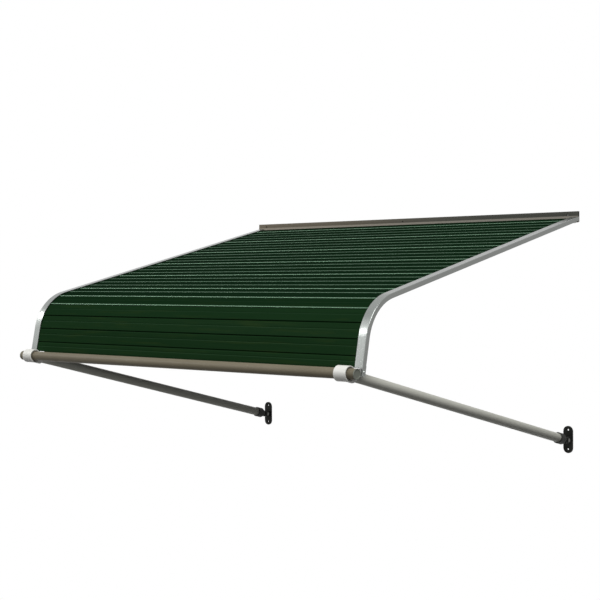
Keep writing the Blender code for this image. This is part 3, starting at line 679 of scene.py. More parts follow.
@dataclass(frozen=True)
class TubePaint:
    """A drawn tube's dull paint, with long faint drawing lines and small rubs."""

    low: Colour
    high: Colour
    roughness: float = 0.42
    rub: Colour = (0.34, 0.33, 0.30)

    def material(self, name: str, follow: bool) -> bpy.types.Material:
        """Builds the paint.

        Args:
            name: The material's name.
            follow: True if the drawing lines follow the piece's UV map, False if they run along X.

        Returns:
            The material.
        """
        shader = Shader(name)
        scale = (1.5, 120.0, 1.0) if follow else (0.8, 70.0, 70.0)
        lines = shader.noise(shader.place(scale, follow), 5.0, 4.0, 0.6)
        cloud = shader.noise(shader.place(), 9.0, 3.0)
        rubs = shader.noise(shader.place(), 160.0, 3.0, 0.7).within(0.64, 0.74)
        colour = shader.blend(lines * 0.6 + cloud * 0.7 - 0.15, self.low, self.high)
        colour = shader.blend(rubs * 0.22, colour, self.rub)
        return shader.finish(
            Base_Color=colour,
            Roughness=self.roughness + lines * 0.12,
            Metallic=0.0,
            Specular_IOR_Level=0.08,
            Normal=shader.bump(lines, 0.08, 0.0002),
        )


@dataclass(frozen=True)
class MouldedPlastic:
    """Plastic from a mould, with a fine even grain and slow shifts of tone."""

    low: Colour
    high: Colour
    roughness: float
    gloss: float

    def material(self, name: str) -> bpy.types.Material:
        """Builds the plastic."""
        shader = Shader(name)
        cloud = shader.noise(shader.place(), 45.0, 3.0)
        grain = shader.noise(shader.place(), 1600.0, 2.0)
        specks = shader.cells(shader.place(), 420.0).within(0.0, 0.10)
        colour = shader.blend(cloud, self.low, self.high)
        colour = shader.blend((1 - specks) * 0.10, colour, self.low)
        return shader.finish(
            Base_Color=colour,
            Roughness=self.roughness + cloud * 0.10,
            Metallic=0.0,
            Specular_IOR_Level=self.gloss,
            Normal=shader.bump(grain, 0.18, 0.0002),
        )


@dataclass(frozen=True)
class CastEnamel:
    """Black enamel over a casting's soft pebbled skin, greyer on its high edges."""

    low: Colour = (0.006, 0.007, 0.006)
    high: Colour = (0.020, 0.020, 0.018)
    edge: Colour = (0.09, 0.09, 0.08)

    def material(self, name: str) -> bpy.types.Material:
        """Builds the enamel."""
        shader = Shader(name)
        pebbles = shader.noise(shader.place(), 520.0, 3.0, 0.6)
        cloud = shader.noise(shader.place(), 60.0, 3.0)
        edge = shader.node("ShaderNodeNewGeometry", {}, {}, "Pointiness").within(0.52, 0.60)
        colour = shader.blend(cloud, self.low, self.high)
        colour = shader.blend(edge * 0.22, colour, self.edge)
        return shader.finish(
            Base_Color=colour,
            Roughness=0.36 + pebbles * 0.18,
            Metallic=0.0,
            Specular_IOR_Level=0.12,
            Normal=shader.bump(pebbles, 0.35, 0.0004),
        )


@dataclass(frozen=True)
class PlatedSteel:
    """Plated steel with a fine turned grain and a few dull spots."""

    low: Colour = (0.27, 0.27, 0.25)
    high: Colour = (0.52, 0.51, 0.48)

    def material(self, name: str) -> bpy.types.Material:
        """Builds the plating."""
        shader = Shader(name)
        grain = shader.noise(shader.place(), 1500.0, 2.0)
        cloud = shader.noise(shader.place(), 260.0, 3.0)
        return shader.finish(
            Base_Color=shader.blend(cloud, self.low, self.high),
            Roughness=0.30 + grain * 0.16,
            Metallic=0.85,
            Normal=shader.bump(grain, 0.12, 0.0001),
        )


# painted reflection: the bar and the arms share one tube finish, and the bar's darker colours and
# the arms' lighter ones stand in for what each reflects
DARK_REFLECTION_BAR_PAINT = TubePaint((0.107, 0.094, 0.065), (0.180, 0.158, 0.112))
LIGHT_REFLECTION_ARM_PAINT = TubePaint((0.480, 0.480, 0.425), (0.595, 0.595, 0.535), 0.36)
CAP_PLASTIC = MouldedPlastic((0.125, 0.135, 0.110), (0.175, 0.185, 0.155), 0.45, 0.3)
TEE_PLASTIC = MouldedPlastic((0.57, 0.57, 0.53), (0.65, 0.65, 0.62), 0.36, 0.25)
BLACK_STEEL = PlatedSteel((0.055, 0.055, 0.050), (0.120, 0.120, 0.112))


# Placing pieces


@dataclass
class Workshop:
    """Takes finished meshes into the frame: links, shades, paints and rides them."""

    frame: dict[str, Any]
    sharp: float = math.radians(35)
    made: list[str] = field(default_factory=list)

    def body_of(self, node: str) -> str:
        """The body that a node rides on."""
        groups = self.frame["record"]["behaviour"]["bodies"]
        return next(body for body, members in groups.items() if node in members)

    def piece(self, mesh: bpy.types.Mesh, material: bpy.types.Material, slot: str,
              node: str) -> None:
        """Makes one finished piece that stands for one node.

        Args:
            mesh: The piece's mesh, in its place.
            material: Its finish.
            slot: The record's slot for the piece's finish; not used.
            node: The node that it replaces, whose body it rides on.
        """
        piece = linked(bpy.data.objects.new(node + "_look", mesh))
        mesh.materials.clear()
        mesh.materials.append(material)
        mesh.shade_smooth()
        mesh.set_sharp_from_angle(angle=self.sharp)
        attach(piece, self.body_of(node))
        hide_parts(node)
        self.made.append(piece.name)
        LOG.info("%s: %d faces, stands for %s", piece.name, len(mesh.polygons), node)

    def repaint(self, node: str, material: bpy.types.Material) -> None:
        """Gives a node that keeps its own shape a better finish."""
        target = self.frame["nodes"][node]
        if not target.material_slots:
            target.data.materials.append(material)
        for place in target.material_slots:
            place.material = material
        LOG.info("%s keeps its shape", node)


# The canopy's profile


@dataclass(frozen=True)
class CanopyProfile:
    """The side view that the rails and slats follow: a slope, a bend and a leaning drop."""

    half_span: float = 0.6096
    header_height: float = 0.0298
    header_wall: float = 0.0018
    gap: float = 0.0003
    top_below_header: float = 0.0138
    slope: float = math.radians(13.6)
    lean: float = math.radians(11.5)
    bend_radius: float = 0.1285
    slope_length: float = 0.8672
    drop_length: float = 0.0695

    @property
    def start_y(self) -> float:
        """Where the rails start, just in front of the header's back sheet."""
        return -(self.header_wall + self.gap)

    @property
    def start_z(self) -> float:
        """The height of the rails' outer face at their start."""
        return self.header_height / 2 - self.top_below_header + self.start_y * math.tan(self.slope)

    @property
    def bend_angle(self) -> float:
        """The angle that the bend turns through."""
        return math.pi / 2 - self.lean - self.slope

    @property
    def run_length(self) -> float:
        """The rails' whole run along their outer face."""
        return self.slope_length + self.bend_radius * self.bend_angle + self.drop_length

    def place(self, run: Array, depth: Array) -> tuple[Array, Array, Array]:
        """A place at a run along the outer face and a depth inside it.

        The fall f is the slope plus the part of the bend already turned. The outer face goes
        straight by the run on the slope, round by R (sin f - sin slope) and R (cos slope - cos f),
        and straight again on the drop. The depth goes in along (sin f, -cos f).

        Args:
            run: Runs in metres.
            depth: Depths in metres, of a shape that matches.

        Returns:
            y, z and the fall from level in radians.
        """
        bend_run = self.bend_radius * self.bend_angle
        on_slope = np.minimum(run, self.slope_length)
        fall = self.slope + np.clip(run - self.slope_length, 0.0, bend_run) / self.bend_radius
        on_drop = np.maximum(run - self.slope_length - bend_run, 0.0)
        y = self.start_y - on_slope * math.cos(self.slope)
        z = self.start_z - on_slope * math.sin(self.slope)
        y = y - self.bend_radius * (np.sin(fall) - math.sin(self.slope)) - on_drop * np.cos(fall)
        z = z - self.bend_radius * (math.cos(self.slope) - np.cos(fall)) - on_drop * np.sin(fall)
        return y + depth * np.sin(fall), z - depth * np.cos(fall), fall

    def upright_start(self, depth: Array | float) -> Array | float:
        """The run at which a depth meets the rails' upright start: depth * tan(slope)."""
        return depth * math.tan(self.slope)

    def run_at_depth(self, run: Array, depth: float) -> Array:
        """The outer face's run for one at a depth, where the bend is shorter by (R - depth) / R."""
        bend_run = (self.bend_radius - depth) * self.bend_angle
        in_bend = np.clip(run - self.slope_length, 0.0, bend_run)
        return run + in_bend * (self.bend_radius / (self.bend_radius - depth) - 1)


# Sub-assemblies


@dataclass
class Slats:
    """The roll-formed slats, each one folded sheet from hook to nose."""

    profile: CanopyProfile
    count: int = 27
    length: float = 1.2154
    sheet: float = 0.0008
    hinge_depth: float = 0.0050
    face_depth: float = 0.0025
    top_margin: float = 0.0085
    bottom_width: float = 0.0278
    nose_inset: float = 0.0005
    nose_drop: float = 0.0041
    nose_return: float = 0.0025
    riser_inset: float = 0.0019
    hook_reach: float = 0.0040
    hook_depth: float = 0.0061
    tip_length: float = 0.0021
    tip_depth: float = 0.0025
    bead_width: float = 0.0030
    bead_depth: float = 0.0007
    bead_share: float = 0.36
    corner: float = 0.0011
    stations: int = 25
    ripple: float = 0.00012
    ripple_start: float = 0.0030
    ripple_end: float = 0.0020
    ripple_fade: float = 0.0060
    # how the painted slope shade and the painted highlight lines grow with a slat's fall, how
    # strong the lines are, and which are strong
    shade_rise: Pair = (0.45, 0.50)
    line_rise: Pair = (0.70, 0.10)
    line_level: float = 0.965
    faint_line: float = 0.55
    strong_every: int = 4
    seed: int = 1000
    lip_half_length: float = 0.5520
    lip_drop: float = 0.0024
    lip_overlap: float = 0.0030
    lip_half_sheet: float = 0.0003
    lip_ease: float = 0.0002

    def hinges(self) -> Array:
        """The evenly spaced hinge lines' (y, z) from the header down, and the bottom slat's end."""
        end = self.profile.run_length - self.hinge_depth * self.profile.bend_angle
        last = end - self.bottom_width
        pitch = (last - self.top_margin) / self.count
        runs = np.append(self.top_margin + pitch * np.arange(self.count + 1), end)
        runs = self.profile.run_at_depth(runs, self.hinge_depth)
        y, z, _ = self.profile.place(runs, self.hinge_depth)
        return np.stack([y, z], axis=-1)

    def section(self, width: float) -> Array:
        """The sheet's middle line from hook to nose, as (along, out) from the upper hinge line."""
        face = self.hinge_depth - self.face_depth
        hook, tip, nose = face - self.hook_depth, face - self.tip_depth, width - self.nose_inset
        bead = self.riser_inset + (nose - self.riser_inset) * self.bead_share
        corners = np.array([
            (self.tip_length - self.hook_reach, tip),
            (-self.hook_reach, tip),
            (-self.hook_reach, hook),
            (self.riser_inset, hook),
            (self.riser_inset, face - self.bead_depth),
            (self.riser_inset + self.bead_width, face),
            (bead, face),
            (bead + self.bead_width / 2, face - self.bead_depth),
            (bead + self.bead_width, face),
            (nose, face),
            (nose, face - self.nose_drop),
            (nose - self.nose_return, face - self.nose_drop),
        ])
        return rounded(corners, self.corner, 5, guarded=True)

    def sheet_mesh(self, name: str, start: Array, end: Array, number: int) -> bpy.types.Mesh:
        """One slat: its section placed between two hinge lines and carried along X.

        A point is start + along * u + out * (v + ripple * w(x) * face(u)), where w is the mean
        of three slow sines with seeded phases and face fades to nothing at the hook and nose.

        Args:
            name: The mesh's name.
            start: The upper hinge line's (y, z).
            end: The lower hinge line's (y, z).
            number: The slat's number, which seeds its ripple and sets its tone.

        Returns:
            The mesh, whose UV map's v is 0 at the nose. Noted on it are the bead's distance from
            there, the painted slope shade's weight, the painted highlight line's strength and the
            tone.
        """
        width = float(np.linalg.norm(end - start))
        along = (end - start) / width
        out = np.array([along[1], -along[0]])
        nose = width - self.nose_inset
        loop = sheet_loop(self.section(width), self.sheet)
        random = np.random.default_rng(self.seed + number)
        phases, speeds = random.uniform(0, 2 * np.pi, 3), random.uniform(4.0, 19.0, 3)
        x = np.linspace(-self.length / 2, self.length / 2, self.stations)
        wave = np.sin(x[:, None] * speeds + phases).mean(axis=1)
        u = loop[:, 0]
        inner = (u - self.riser_inset - self.ripple_start) / self.ripple_fade
        outer = (nose - self.ripple_end - u) / self.ripple_fade
        v = loop[:, 1] + self.ripple * wave[:, None] * (np.clip(inner, 0, 1) * np.clip(outer, 0, 1))
        y, z = (start[axis] + along[axis] * u + out[axis] * v for axis in (0, 1))
        face = self.hinge_depth - self.face_depth + self.sheet / 2
        at_nose = int(np.argmin(np.hypot(u - nose, loop[:, 1] - face)))
        mesh = skin(name, points(x[:, None], y, z), Caps.SHEET, x - x[0], at_nose)
        bead = self.riser_inset + (nose - self.riser_inset) * self.bead_share + self.bead_width
        # weights of the painted slope shade and the painted highlight line, from how steeply the
        # slat lies
        shade, lit = (float(np.clip((-along[0] - low) / span, 0.0, 1.0))
                      for low, span in (self.shade_rise, self.line_rise))
        strong = number % self.strong_every == 1 or -along[0] < self.line_level
        note(mesh, "bead", nose - bead)
        note(mesh, "shade", shade)
        note(mesh, "strength", lit * (1.0 if strong else self.faint_line))
        note(mesh, "tone", random.uniform(0.0, 1.0))
        return mesh

    def lip_mesh(self) -> bpy.types.Mesh:
        """The bottom slat's drip lip, a strip that starts inside its front face and hangs down."""
        end, thin = self.profile.run_length, self.lip_half_sheet
        strip = rectangle(end - self.lip_overlap, self.face_depth - thin,
                          end + self.lip_drop, self.face_depth + thin)
        y, z, _ = self.profile.place(strip[:, 0], strip[:, 1])
        outline = rounded_loop(np.stack([y, z], axis=-1), self.lip_ease)
        half = self.lip_half_length
        mesh = prism("drip_lip", outline, np.linspace(-half, half, self.stations))
        for name in ("bead", "shade", "strength", "tone"):
            note(mesh, name, 0.0)
        return mesh

    def build(self, shop: Workshop) -> None:
        """Makes every slat and dresses it in enamel."""
        enamel = SlatEnamel().material("slat_enamel")
        hinges = self.hinges()
        for number, (start, end) in enumerate(zip(hinges, hinges[1:]), start=1):
            last = number == len(hinges) - 1
            node = "bottom_slat" if last else f"slat_{number:02d}"
            mesh = self.sheet_mesh(node + "_sheet", start, end, number)
            if last:
                mesh = merged(node + "_with_lip", mesh, self.lip_mesh())
            shop.piece(mesh, enamel, "slat", node)


@dataclass
class SideRails:
    """The two U-channels that hold the slats' ends, each with its outer web left long as a tab."""

    profile: CanopyProfile
    flange: float = 0.0240
    depth: float = 0.0125
    wall: float = 0.0016
    tab: float = 0.0180
    tab_overlap: float = 0.0060
    tab_inset: float = 0.00005
    tab_ease: float = 0.0003
    corner: float = 0.0012
    groove_depth: float = 0.00035
    groove_width: float = 0.0011
    slope_steps: int = 20
    bend_steps: int = 56
    drop_steps: int = 8

    def runs(self) -> Array:
        """The runs of the stations: even on the slope, closer in the bend, even on the drop."""
        bend_end = self.profile.slope_length + self.profile.bend_radius * self.profile.bend_angle
        slope = np.linspace(0.0, self.profile.slope_length, self.slope_steps, endpoint=False)
        bend = np.linspace(self.profile.slope_length, bend_end, self.bend_steps, endpoint=False)
        drop = np.linspace(bend_end, self.profile.run_length, self.drop_steps)
        return np.concatenate([slope, bend, drop])

    def channel_line(self) -> Array:
        """The sheet's middle line from flange to flange, as (inward from the web's face, depth)."""
        half = self.wall / 2
        return rounded(np.array([
            (self.flange, half),
            (half, half),
            (half, self.depth - half),
            (self.flange, self.depth - half),
        ]), self.corner, 5, guarded=True)

    def web_groove(self, inward: Array, depth: Array) -> Array:
        """Sinks the web's outer face by groove depth * exp(-((depth - middle) / width)^2)."""
        away = (depth - self.depth / 2) / self.groove_width
        return inward + self.groove_depth * np.exp(-(away**2)) * (inward < self.wall * 0.4)

    def swept(self, name: str, side: int, loop: Array, runs: Array, caps: Caps) -> bpy.types.Mesh:
        """An outline carried along the canopy's profile, with x = side * (half span - inward).

        Args:
            name: The mesh's name.
            side: -1 for the left rail and 1 for the right.
            loop: The outline's (inward, depth) points, shape (n, 2).
            runs: The stations' runs.
            caps: How the ends are closed.

        Returns:
            The mesh.
        """
        inward, depth = loop[:, 0], loop[:, 1]
        run = np.maximum(runs[:, None], self.profile.upright_start(depth))
        y, z, _ = self.profile.place(run, depth)
        return skin(name, points(side * (self.profile.half_span - inward), y, z), caps, runs)

    def rail_mesh(self, name: str, side: int) -> bpy.types.Mesh:
        """One rail: the channel, and its tab as a thinner plate that starts inside the web."""
        loop = sheet_loop(self.channel_line(), self.wall)
        loop[:, 0] = self.web_groove(loop[:, 0], loop[:, 1])
        channel = self.swept(name, side, loop, self.runs(), Caps.SHEET)
        inset, end = self.tab_inset, self.profile.run_length
        plate = rectangle(inset, inset, self.wall - inset, self.depth - inset)
        runs = np.linspace(end - self.tab_overlap, end + self.tab, 6)
        tab = self.swept(name + "_tab", side, rounded_loop(plate, self.tab_ease), runs, Caps.FACE)
        return merged(name, channel, tab)

    def build(self, shop: Workshop) -> None:
        """Makes both rails."""
        satin = RailAluminium().material("rail_aluminium")
        for side_name, side in SIDES:
            node = "side_rail_" + side_name
            shop.piece(self.rail_mesh(node + "_channel", side), satin, "rail", node)
            shop.repaint("bar_bracket_" + side_name, satin)
            shop.repaint("tab_screw_" + side_name, satin)


@dataclass
class Header:
    """The header: a thin hood over the upper slats with a lip, three holes and a sloped shelf."""

    profile: CanopyProfile
    rails: SideRails
    wall: float = 0.0018
    depth: float = 0.0070
    face_height: float = 0.0128
    lip_out: float = 0.0045
    lip_down: float = 0.0066
    shelf: float = 0.0100
    hole_radius: float = 0.0024
    hole_inset: float = 0.0346
    hole_rise: float = 0.0055
    hole_run: Pair = (-0.0180, 0.0100)
    ease: float = 0.00035
    screw_radius: float = 0.0018
    clear: float = 0.0010

    def outline(self) -> Array:
        """The (y, z) outline, each corner eased."""
        top = self.profile.header_height / 2
        lip_z = top - self.face_height
        lip_y, lip_end = -self.depth - self.lip_out, lip_z - self.lip_down
        tilt = math.atan2(self.lip_out, self.lip_down)
        slope = math.tan(self.profile.slope)
        shelf_end = -top
        shelf_z = shelf_end + self.shelf * slope
        return rounded_loop(np.array([
            (0.0, top),
            (-self.depth, top),
            (-self.depth, lip_z),
            (lip_y, lip_end),
            (lip_y + self.wall * math.cos(tilt), lip_end - self.wall * math.sin(tilt)),
            (-self.depth + self.wall, lip_z - self.wall * math.tan(tilt / 2)),
            (-self.depth + self.wall, top - self.wall),
            (-self.wall, top - self.wall),
            (-self.wall, shelf_z - self.wall * slope),
            (-self.shelf, shelf_end),
            (-self.shelf, shelf_end - self.wall),
            (0.0, shelf_z - self.wall),
        ]), self.ease, 3)

    def notch(self, side: int) -> bpy.types.Mesh:
        """The solid that frees the lip over one rail's flange, sloped with an upright back."""
        half, gap = self.profile.half_span, self.profile.gap
        depth = np.array([-gap, -gap, self.rails.depth + gap, self.rails.depth + gap])
        past_lip = self.depth + self.lip_out + self.clear
        run = np.where([True, False, False, True], self.profile.upright_start(depth), past_lip)
        y, z, _ = self.profile.place(run, depth)
        x = side * np.array([half - self.rails.flange - gap, half + self.clear])
        return prism(f"notch_{side}", np.stack([y, z], axis=-1), np.sort(x))

    def shelf_hole(self, side: int) -> bpy.types.Mesh:
        """The solid of one rail screw's hole in the shelf."""
        ahead = self.profile.start_y + (self.shelf + self.wall) / 2
        run = ahead / math.cos(self.profile.slope) + self.profile.upright_start(self.rails.depth)
        y, z, fall = (float(value) for value in self.profile.place(run, self.rails.depth))
        x = side * (self.profile.half_span - self.rails.flange / 2)
        axis = Axis((x, y, z), (0.0, math.sin(fall), -math.cos(fall)))
        return shaft(f"shelf_hole_{side}", axis, -self.wall, 3 * self.wall,
                     self.screw_radius + self.profile.gap, segments=TINY)

    def build(self, shop: Workshop) -> None:
        """Makes the header with its holes and notches."""
        half = self.profile.half_span
        body = prism("header_hood", self.outline(), np.linspace(-half, half, 2))
        spacing = half - self.hole_inset
        cuts = []
        for number, x in enumerate((-spacing, 0.0, spacing)):
            axis = Axis((x, 0.0, self.hole_rise), (0.0, 1.0, 0.0))
            cuts.append(shaft(f"hole_{number}", axis, *self.hole_run, self.hole_radius,
                              segments=SMALL))
        cuts += [cutter(side) for cutter in (self.notch, self.shelf_hole) for _, side in SIDES]
        mesh = joined("header_hood_cut", body, [], cuts)
        shop.piece(mesh, HeaderAluminium().material("header_aluminium"), "header", "header")


@dataclass
class FrontBar:
    """The round front bar with its end plugs."""

    y: float = -0.9785883679
    z: float = -0.3832062599
    radius: float = 0.0127
    wall: float = 0.0016
    half_length: float = 0.6103
    gap: float = 0.0003
    flange: float = 0.0025
    plug: float = 0.0060
    recess: float = 0.0010
    rim: float = 0.0022
    recess_draft: float = 0.0004
    tube_ease: float = 0.0003
    cap_ease: float = 0.0005

    def tube_profile(self, near: float, far: float) -> Array:
        """A tube's closed (distance, radius) outline with eased rims."""
        inner = self.radius - self.wall
        corners = np.array([(near, inner), (near, self.radius), (far, self.radius), (far, inner)])
        return rounded_loop(corners, self.tube_ease)

    def cap_profile(self) -> Array:
        """An end plug's (distance, radius) run from pole to pole: plug, flange, rim and recess."""
        end = self.half_length + self.gap
        face = end + self.flange
        plug_radius = self.radius - self.wall - self.gap
        return rounded(np.array([
            (end - self.plug, 0.0),
            (end - self.plug, plug_radius),
            (end, plug_radius),
            (end, self.radius),
            (face, self.radius),
            (face, self.radius - self.rim),
            (face - self.recess, self.radius - self.rim - self.recess_draft),
            (face - self.recess, 0.0),
        ]), self.cap_ease)

    def build(self, shop: Workshop) -> None:
        """Makes the bar and both plugs."""
        middle = (0.0, self.y, self.z)
        profile = self.tube_profile(-self.half_length, self.half_length)
        bar = revolved("bar_tube", Axis(middle, (1.0, 0.0, 0.0)), profile, ROUND, Caps.RING)
        shop.piece(bar, DARK_REFLECTION_BAR_PAINT.material("bar_paint_painted_reflection", follow=False), "tube", "front_bar")
        plastic = CAP_PLASTIC.material("cap_plastic")
        for side_name, side in SIDES:
            axis = Axis(middle, (float(side), 0.0, 0.0))
            cap = revolved("cap_" + side_name, axis, self.cap_profile(), ROUND, Caps.FACE)
            shop.piece(cap, plastic, "cap", "bar_cap_" + side_name)


@dataclass
class StayArms:
    """The stay arms with their slip tees, cups, oblong brackets, bolts and set screws."""

    bar: FrontBar
    spacing: float = 0.575
    pivot_y: float = -0.019
    pivot_z: float = -0.6222062599
    tee_radius: float = 0.0185
    tee_length: float = 0.0360
    mouth_radius: float = 0.0153
    mouth_depth: float = 0.0040
    branch_radius: float = 0.0168
    branch_length: float = 0.0320
    web: float = 0.0016
    set_screw: float = 0.0024
    cup_mouth: float = 0.0440
    cup_socket: float = 0.0200
    cup_wall: float = 0.0026
    cup_floor: float = 0.0030
    eye: float = 0.0095
    tongue: float = 0.0090
    ear: float = 0.0045
    pin: float = 0.0030
    plate_height: float = 0.0762
    plate_width: float = 0.0290
    plate_thickness: float = 0.0050
    plate_hole: float = 0.0026
    plate_hole_inset: float = 0.0110
    plate_ease: float = 0.0001
    sink_depth: float = 0.0014
    sink_overrun: float = 0.0012
    sink_flare: float = 0.0026
    soft: float = 0.0008
    eye_ease: float = 0.0006
    ear_ease: float = 0.0005
    pin_ease: float = 0.0005
    screw_ease: float = 0.0003
    shy: float = 0.00007
    head: float = 0.0056
    head_height: float = 0.0036
    nut_height: float = 0.0042
    bolt_end: float = 0.0010
    bevel: float = 0.0006
    bevel_inset: float = 0.0001
    bevel_slope: float = 1.7
    shank_overlap: float = 0.0004
    screw_core: float = 0.3
    screw_rim: float = 0.7
    socket_share: float = 0.55
    socket_rings: tuple[float, ...] = (1.08, 1.0, 1.0, 0.3)
    socket_bevel: float = 0.0004
    socket_depth: float = 0.0015
    tee_voxel: float = 0.0007
    cup_voxel: float = 0.0006
    plate_voxel: float = 0.0005

    @property
    def bore(self) -> float:
        """The radius of a hole that takes a tube."""
        return self.bar.radius + self.bar.gap

    @property
    def span(self) -> float:
        """The distance from the bar's axis to the pivot."""
        return math.hypot(self.pivot_y - self.bar.y, self.pivot_z - self.bar.z)

    @property
    def direction(self) -> tuple[float, float, float]:
        """The unit direction from the bar to the pivot."""
        ahead, fall = self.pivot_y - self.bar.y, self.pivot_z - self.bar.z
        return (0.0, ahead / self.span, fall / self.span)

    @property
    def cup_floor_at(self) -> float:
        """The distance from the bar to the cup's floor."""
        return self.span - self.cup_mouth + self.cup_socket

    def arm_axis(self, x: float) -> Axis:
        """An arm's axis, from the bar."""
        return Axis((x, self.bar.y, self.bar.z), self.direction)

    def cross_axis(self, x: float, at_pivot: bool) -> Axis:
        """An axis along X through the bar or the pivot."""
        y, z = (self.pivot_y, self.pivot_z) if at_pivot else (self.bar.y, self.bar.z)
        return Axis((x, y, z), (1.0, 0.0, 0.0))

    def set_screw_axis(self, distance: float) -> Axis:
        """The axis of a set screw on the arm's under side, at a distance from the bar."""
        _, ahead, fall = self.direction
        origin = (0.0, self.bar.y + ahead * distance, self.bar.z + fall * distance)
        return Axis(origin, (0.0, fall, -ahead))

    def screw_hole(self, name: str, distance: float, outer: float) -> bpy.types.Mesh:
        """The solid of a set screw's hole through a wall of an outer radius."""
        return shaft(name, self.set_screw_axis(distance), outer / 2, 1.5 * outer,
                     self.set_screw + self.bar.gap, segments=TINY)

    def pin_hole(self, name: str) -> bpy.types.Mesh:
        """The solid of the pivot bolt's hole."""
        return shaft(name, self.cross_axis(0.0, True), -2 * self.tongue, 2 * self.tongue,
                     self.pin + self.bar.gap, segments=SMALL)

    def tee_mesh(self) -> bpy.types.Mesh:
        """A slip tee at x = 0: a collar and a branch, moulded in one with soft edges."""
        cross, arm = self.cross_axis(0.0, False), self.arm_axis(0.0)
        half = self.tee_length / 2
        past, mouth = half + OVERRUN, half - self.mouth_depth
        collar = shaft("tee_collar", cross, -half, half, self.tee_radius, ease=self.soft)
        branch = shaft("tee_branch", arm, 0.0, self.branch_length, self.branch_radius,
                       ease=self.soft)
        cuts = [
            shaft("tee_bore", cross, -past, past, self.bore),
            shaft("tee_mouth_a", cross, -past, -mouth, self.mouth_radius),
            shaft("tee_mouth_b", cross, mouth, past, self.mouth_radius),
            shaft("tee_socket", arm, self.bore + self.web, self.branch_length + OVERRUN, self.bore),
            self.screw_hole("tee_screw_hole", 0.0, self.tee_radius),
        ]
        return joined("slip_tee_mould", collar, [branch], cuts, self.tee_voxel)

    def cup_mesh(self) -> bpy.types.Mesh:
        """An arm's cup at x = 0, with a taper and a flat tongue, cast in one."""
        arm, pivot = self.arm_axis(0.0), self.cross_axis(0.0, True)
        outer = self.bore + self.cup_wall
        mouth = self.cup_floor_at - self.cup_socket
        end = self.cup_floor_at + self.cup_floor
        half = self.tongue / 2
        neck_start = end - self.cup_floor / 2
        neck_end = self.span - self.eye - self.bar.gap
        turn = math.atan2(-self.direction[1], self.direction[2])
        y, z, shy = self.pivot_y, self.pivot_z, self.shy
        low = (shy - half, y - self.eye + shy, z + neck_start - self.span + shy)
        high = (half - shy, y + self.eye - shy, z + shy)
        added = [
            shaft("cup_neck", arm, neck_start, neck_end, outer - self.bar.gap, self.eye - shy,
                  segments=80),
            slab("cup_tongue", low, high, turn, (0.0, y, z)),
            shaft("cup_eye", pivot, -half, half, self.eye, ease=self.eye_ease, segments=76),
        ]
        cuts = [
            shaft("cup_bore", arm, mouth - OVERRUN, self.cup_floor_at, self.bore),
            self.pin_hole("cup_pin_hole"),
            self.screw_hole("cup_screw_hole", mouth + self.cup_socket / 2, outer),
        ]
        body = shaft("cup_body", arm, mouth, end, outer, ease=self.soft)
        return joined("arm_cup_casting", body, added, cuts, self.cup_voxel)

    def plate_mesh(self) -> bpy.types.Mesh:
        """A bracket at x = 0: an oblong plate with two ears and two countersunk holes."""
        half, thick, z = self.plate_width / 2, self.plate_thickness, self.pivot_z
        straight = self.plate_height / 2 - half
        pivot = self.cross_axis(0.0, True)
        body = slab("plate_middle", (-half, -thick, z - straight), (half, 0.0, z + straight))
        wall_axes = [Axis((0.0, 0.0, z + end * straight), (0.0, -1.0, 0.0)) for end in (-1, 1)]
        added = [shaft(f"plate_end_{number}", axis, 0.0, thick, half, ease=self.plate_ease)
                 for number, axis in enumerate(wall_axes)]
        cuts = [self.pin_hole("plate_pin_hole")]
        for number, end in enumerate((-1, 1)):
            middle = end * (self.tongue / 2 + self.bar.gap + self.ear / 2)
            low_x, high_x = middle - self.ear / 2, middle + self.ear / 2
            added.append(shaft(f"plate_eye_{number}", pivot, low_x, high_x, self.eye,
                               ease=self.ear_ease, segments=64))
            added.append(slab(f"plate_ear_{number}", (low_x, self.pivot_y, z - self.eye),
                              (high_x, -thick / 2, z + self.eye)))
            hole_z = z + end * (self.plate_height / 2 - self.plate_hole_inset)
            hole = Axis((0.0, 0.0, hole_z), (0.0, -1.0, 0.0))
            cuts.append(shaft(f"plate_hole_{number}", hole, -OVERRUN, 3 * OVERRUN, self.plate_hole,
                              segments=SMALL))
            cuts.append(shaft(f"plate_sink_{number}", hole, thick - self.sink_depth,
                              thick + self.sink_overrun, self.plate_hole,
                              self.plate_hole + self.sink_flare, 0.0, segments=SMALL))
        return joined("wall_bracket_casting", body, added, cuts, self.plate_voxel)

    def arm_mesh(self, name: str, x: float) -> bpy.types.Mesh:
        """A stay arm, a tube from the tee's socket to the cup's floor."""
        start = self.bore + self.web + self.bar.gap
        profile = self.bar.tube_profile(start, self.cup_floor_at - self.bar.gap)
        return revolved(name, self.arm_axis(x), profile, ROUND, Caps.RING)

    def hexagon(self, corner: float, angle: Array) -> Array:
        """A hexagon's radius: corner * cos(30) / cos(angle within its side)."""
        return corner * math.cos(math.pi / 6) / np.cos(np.mod(angle, np.pi / 3) - np.pi / 6)

